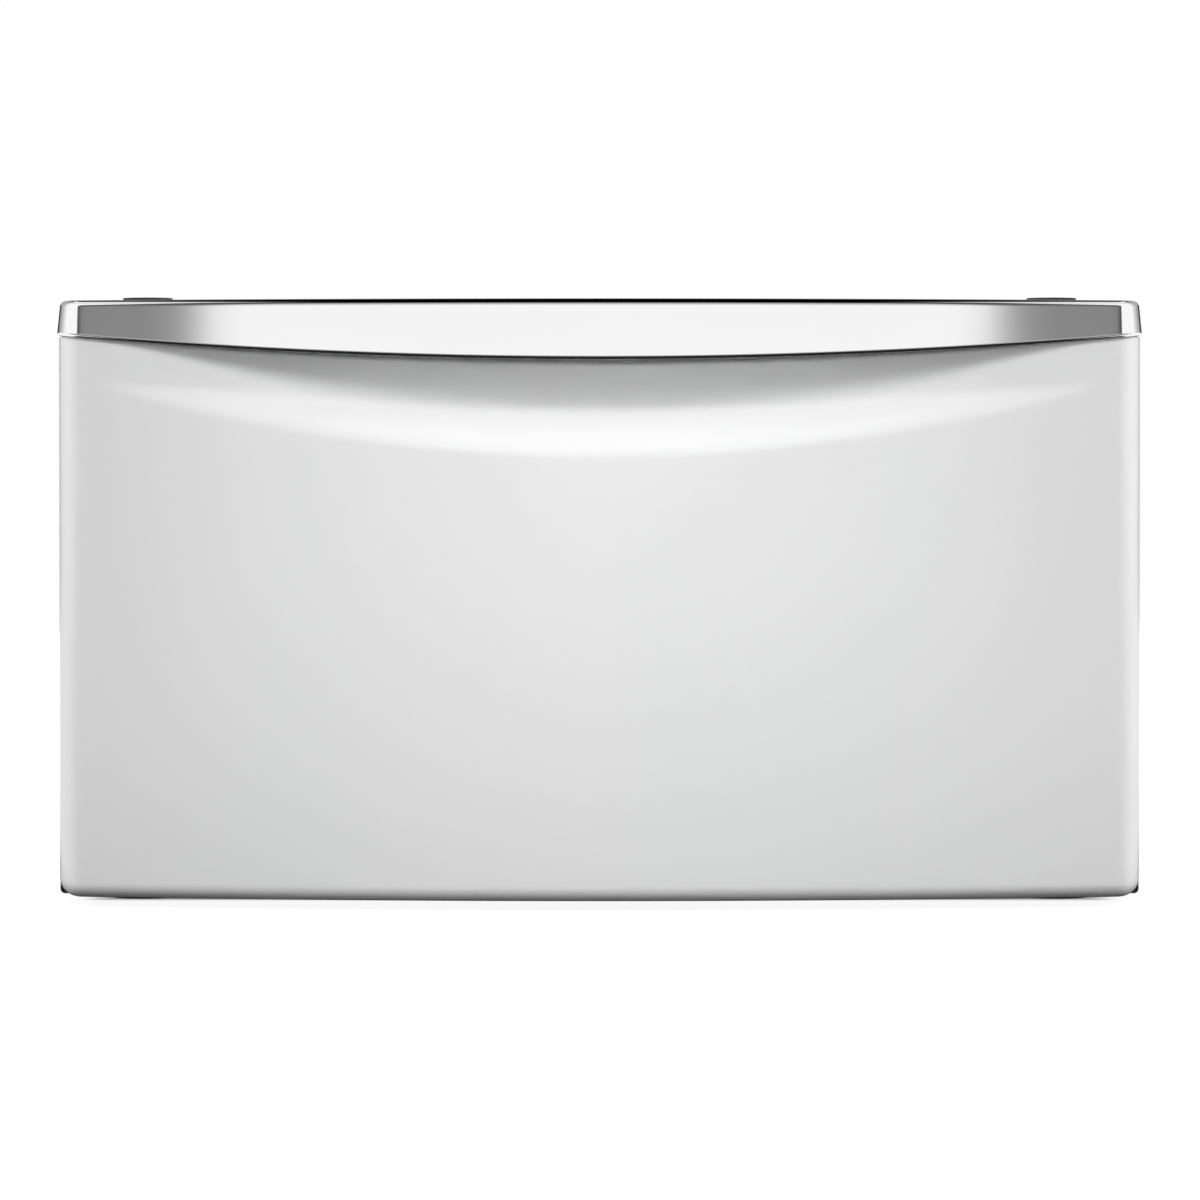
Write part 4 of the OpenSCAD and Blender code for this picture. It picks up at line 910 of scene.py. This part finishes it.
panel_bosses = [(k * half_w, 0.0125) for k in (-0.74, -0.25, 0.25, 0.74)] + [
    (side * panel_boss_x, z) for side in (-1, 1) for z in (0.1152, 0.23808)]


def front_line(half, fore, corner_r, corner_steps, bow_steps):
    """Points of the front's plan, from its rear left round the bulge to its rear right."""
    corner = bow_axis - sqrt((bow_axis - fore - corner_r) ** 2 - (half - corner_r) ** 2)
    swing = atan2(bow_axis - corner, half - corner_r)
    left = [(-half, front_rear_y)]
    for i in range(corner_steps + 1):
        a = pi + swing * i / corner_steps
        left.append((corner_r - half + corner_r * cos(a), corner + corner_r * sin(a)))
    middle = []
    for i in range(1, bow_steps):
        a = pi + bow_swing + (pi - 2 * bow_swing) * i / bow_steps
        middle.append(((bow_axis - fore) * cos(a), bow_axis + (bow_axis - fore) * sin(a)))
    return left + middle + [(-px, py) for px, py in reversed(left)]


def rise(x):
    """How far the handle's lower edge has risen at x from its middle."""
    return edge_rise * (x / handle_x) ** 2


def soft_max(a, b, r):
    return max(a, b) + max(r - abs(a - b), 0) ** 2 / (4 * r)


def pocket(x, z):
    """How far the finger pocket sinks the face at x and z."""
    if abs(x) > half_w - edge_r:
        return 0
    wall = face_y + pocket_depth - (bow_axis - sqrt(bow_r ** 2 - x ** 2))
    floor_line = wall + (z - handle_edge + pocket_drop - rise(x)) * pocket_slope
    return soft_max(-soft_max(-wall, -floor_line, pocket_crease), 0, pocket_rim)


def panel_rows():
    """Height, share of the handle's rise, side inset and front inset of each row."""
    rows = []
    for i in range(foot_steps + 1):
        a = pi / 2 * i / foot_steps
        h = lower_corner_r * (1 - cos(a))
        front = 0
        if h < lower_edge_r:
            front = lower_edge_r - sqrt(lower_edge_r ** 2 - (lower_edge_r - h) ** 2)
        rows.append((panel_foot + h, 0, lower_corner_r * (1 - sin(a)), front))
    plain_foot, plain_top, plain_steps = 0.0185, 0.265, 8
    for part in [i / plain_steps for i in range(1, plain_steps)]:
        rows.append((plain_foot + (plain_top - plain_foot) * part, part, 0, 0))
    pocket_foot, pocket_steps = -0.052, 54
    pocket_top = pocket_drop - seat - joint_r
    for i in range(pocket_steps + 1):
        past = pocket_foot + (pocket_top - pocket_foot) * i / pocket_steps
        rows.append((handle_edge - pocket_drop + past, 1, 0, 0))
    for a in map(radians, (16, 32, 48, 64, 80)):
        inset = joint_r * (1 - cos(a))
        rows.append((handle_edge - seat - joint_r * (1 - sin(a)), 1, inset, inset))
    rows.append((handle_edge - seat, 1, lap_step, 0))
    rows.append((shelf_under - seat, 0, lap_step, 0))
    return rows


def woven(name, lines):
    """A sheet woven from rows of points: a grid whose points are moved to their places."""
    bpy.ops.mesh.primitive_grid_add(x_subdivisions=len(lines[0]) - 1, y_subdivisions=len(lines) - 1)
    sheet_grid = bpy.context.object
    sheet_grid.name = name
    for vertex, place in zip(sheet_grid.data.vertices, [p for line in lines for p in line]):
        vertex.co = place
    return sheet_grid


lines = []
for height, share, side_in, front_in in panel_rows():
    plan = front_line(half_w - side_in, face_y + front_in, max(edge_r - side_in, least_corner),
                      corner_steps, bow_steps)
    lines.append([(px, py + pocket(px, height + share * rise(px)), height + share * rise(px))
                  for px, py in plan])
front_panel = woven("front_panel_shell", lines)
across, plain_row = len(lines[0]) - 1, foot_steps + 3
if front_panel.data.polygons[plain_row * across + across // 2].normal.y > 0:
    front_panel.data.flip_normals()
weld(front_panel, 0.000001)
bpy.ops.object.mode_set(mode="OBJECT")
put_on(front_panel, "SOLIDIFY", thickness=panel_wall, offset=-1, use_even_offset=True)
boss = turned("boss", [(2.05, 16), (2.05, 0.4), (2.4, 0), (4.7, 0), (5, 0.3), (4.8, 18)], 32)
panel_boss_set = set_out(boss, "panel_bosses", [
    spot(x, front_rear_y, z, (0, -1, 0)) for x, z in panel_bosses])
join_to(front_panel, panel_boss_set)
smooth(front_panel, flats=False)
gloss_white = surface("gloss_white_front", sprayed_coat, (grey(0.875), grey(0.885)), (0.11, 0.14),
                      0.000003, dust=0.0, rub=0.1, rubbed=grey(0.84), Scale=300.0)
finish_piece(front_panel, "panel_gloss", gloss_white, "front_panel")

# BLACK LINER
# A black moulded plate that closes the panel's back, with a rim that locates inside it and
# bosses for the screws from the drawer.
# Its black is the plate's own colour. Where its edge shows past the front's lower corners, it also
# stands in for the shadow in the gap there, a painted shade.
pressed("front_liner", "black_plastic", black_plastic, fold=0, ease=0.0004)
liner_y = -0.25
boss_screw = pan_screw("boss_screw", 0.016)
panel_screws = set_out(boss_screw, "panel_screw_set", [
    spot(x, liner_y, z, (0, 1, 0), 500 * x + 300 * z) for x, z in panel_bosses])
finish_piece(panel_screws, "zinc_hardware", screw_zinc, "panel_screws")

# HANDLE
# A cap die-cast in zinc and plated bright chrome. Its front skirt sags in the middle to
# cover the finger pocket, its ends draft inwards, and six screws from behind hold it.
handle_proud, low_r, low_start, top_r, end_draft = 0.003, 0.0032, radians(48), 0.0045, radians(5)
grip_t, grip_share, skirt_x, shelf_side = 0.005, 0.8, 0.3393, 0.014
low_steps, top_steps = 5, 10
handle_boss_xs = [k * half_w for k in (-0.86, -0.5, -0.17, 0.17, 0.5, 0.86)]
handle_boss_z, cap_corner_steps, cap_bow_steps = 0.378, 18, 200


def cap_line(half, fore, corner_r):
    return front_line(half, fore, corner_r, cap_corner_steps, cap_bow_steps)


cap_face, cap_corner = face_y - handle_proud, 0.019
lows = [handle_edge + rise(px) for px, py in cap_line(handle_x, cap_face, cap_corner)]
sections = []
for k in range(low_steps + 1):
    a = low_start + (pi / 2 - low_start) * k / low_steps
    inset = low_r * (1 - sin(a))
    line = cap_line(handle_x - inset, cap_face + inset, cap_corner - inset)
    up = low_r * (cos(low_start) - cos(a))
    sections.append([(px, py, low + up) for (px, py), low in zip(line, lows)])
for k in range(top_steps + 1):
    a = pi / 2 * k / top_steps
    inset = top_r * (1 - cos(a))
    drafted, points = {}, []
    for i, low in enumerate(lows):
        lean = (shelf_under - low) * tan(end_draft)
        mark = round(lean, 6)
        if mark not in drafted:
            drafted[mark] = cap_line(
                handle_x - lean - inset, cap_face + inset, cap_corner - lean - inset)
        px, py = drafted[mark][i]
        points.append((px, py, handle_top - top_r * (1 - sin(a))))
    sections.append(points)
last = len(lows) - 1
rear = [(2 * i / last - 1) * (handle_x - shelf_side) for i in range(last + 1)]
sections.append([(px, front_rear_y, handle_top) for px in rear])
sections.append([(px, front_rear_y, shelf_under) for px in rear])
skirt = cap_line(skirt_x, face_y - seat, edge_r - lap_step + seat)
sections.append([(px, py, shelf_under) for px, py in skirt])
points = []
for i, (low, (outer_x, _)) in enumerate(zip(lows, cap_line(handle_x, cap_face, cap_corner))):
    grip = grip_t * max(0, 1 - (outer_x / (grip_share * half_w)) ** 2)
    px, py = cap_line(skirt_x, face_y - seat + grip, edge_r - lap_step + seat)[i]
    points.append((px, py, low))
sections.append(points)
sections.append(sections[0])
handle = woven("handle_cap", sections)
weld(handle, 0.000001)
bpy.ops.mesh.select_non_manifold()
bpy.ops.mesh.edge_face_add()
face_outwards()
handle_bosses = set_out(boss, "handle_bosses", [
    spot(x, front_rear_y, handle_boss_z, (0, -1, 0)) for x in handle_boss_xs])
join_to(handle, handle_bosses)
smooth(handle, 30)
throw_out(boss)


def polished_plate_effect():
    """Bright plate with faint wiping marks, left satin on the shelf above the polished face."""
    group, given, result = start_effect("polished_plate", {"Scale": 26.0})
    place = wire(group, "TexCoord").outputs["Object"]
    wiped = wire(group, "VectorMath", {0: place, 1: (0.25, 1.0, 1.6)}, operation="MULTIPLY")
    smear = wire(group, "TexNoise", {0: wiped.outputs[0], "Scale": given["Scale"], "Detail": 5.0})
    height = wire(group, "SeparateXYZ", {0: place}).outputs[2]
    shelf = wire(group, "MapRange", {
        "Value": height, "From Min": handle_top - 0.0003, "From Max": handle_top - 0.0001,
        "To Min": 0.28, "To Max": 0.68})
    gloss = wire(group, "Math", {0: smear.outputs[0], 1: 0.08, 2: shelf.outputs[0]},
                 operation="MULTIPLY_ADD")
    cloud = wire(group, "TexNoise", {0: place, "Scale": 8.0, "Detail": 2.0})
    ripple = wire(group, "TexNoise", {0: place, "Scale": 60.0, "Detail": 1.0})
    return put_out(group, result, cloud.outputs[0], gloss.outputs[0], ripple.outputs[0])


chrome_plate = surface("chrome_plate", polished_plate_effect(), (grey(0.92), grey(0.94)),
                       (0.03, 0.4), 0.000001, metallic=1.0, dust=0.0, rub=0.0)
finish_piece(handle, "chrome_trim", chrome_plate, "handle")
handle_screws = set_out(boss_screw, "handle_screw_set", [
    spot(x, liner_y, handle_boss_z, (0, 1, 0), 400 * x) for x in handle_boss_xs])
finish_piece(handle_screws, "zinc_hardware", screw_zinc, "handle_screws")
throw_out(boss_screw)
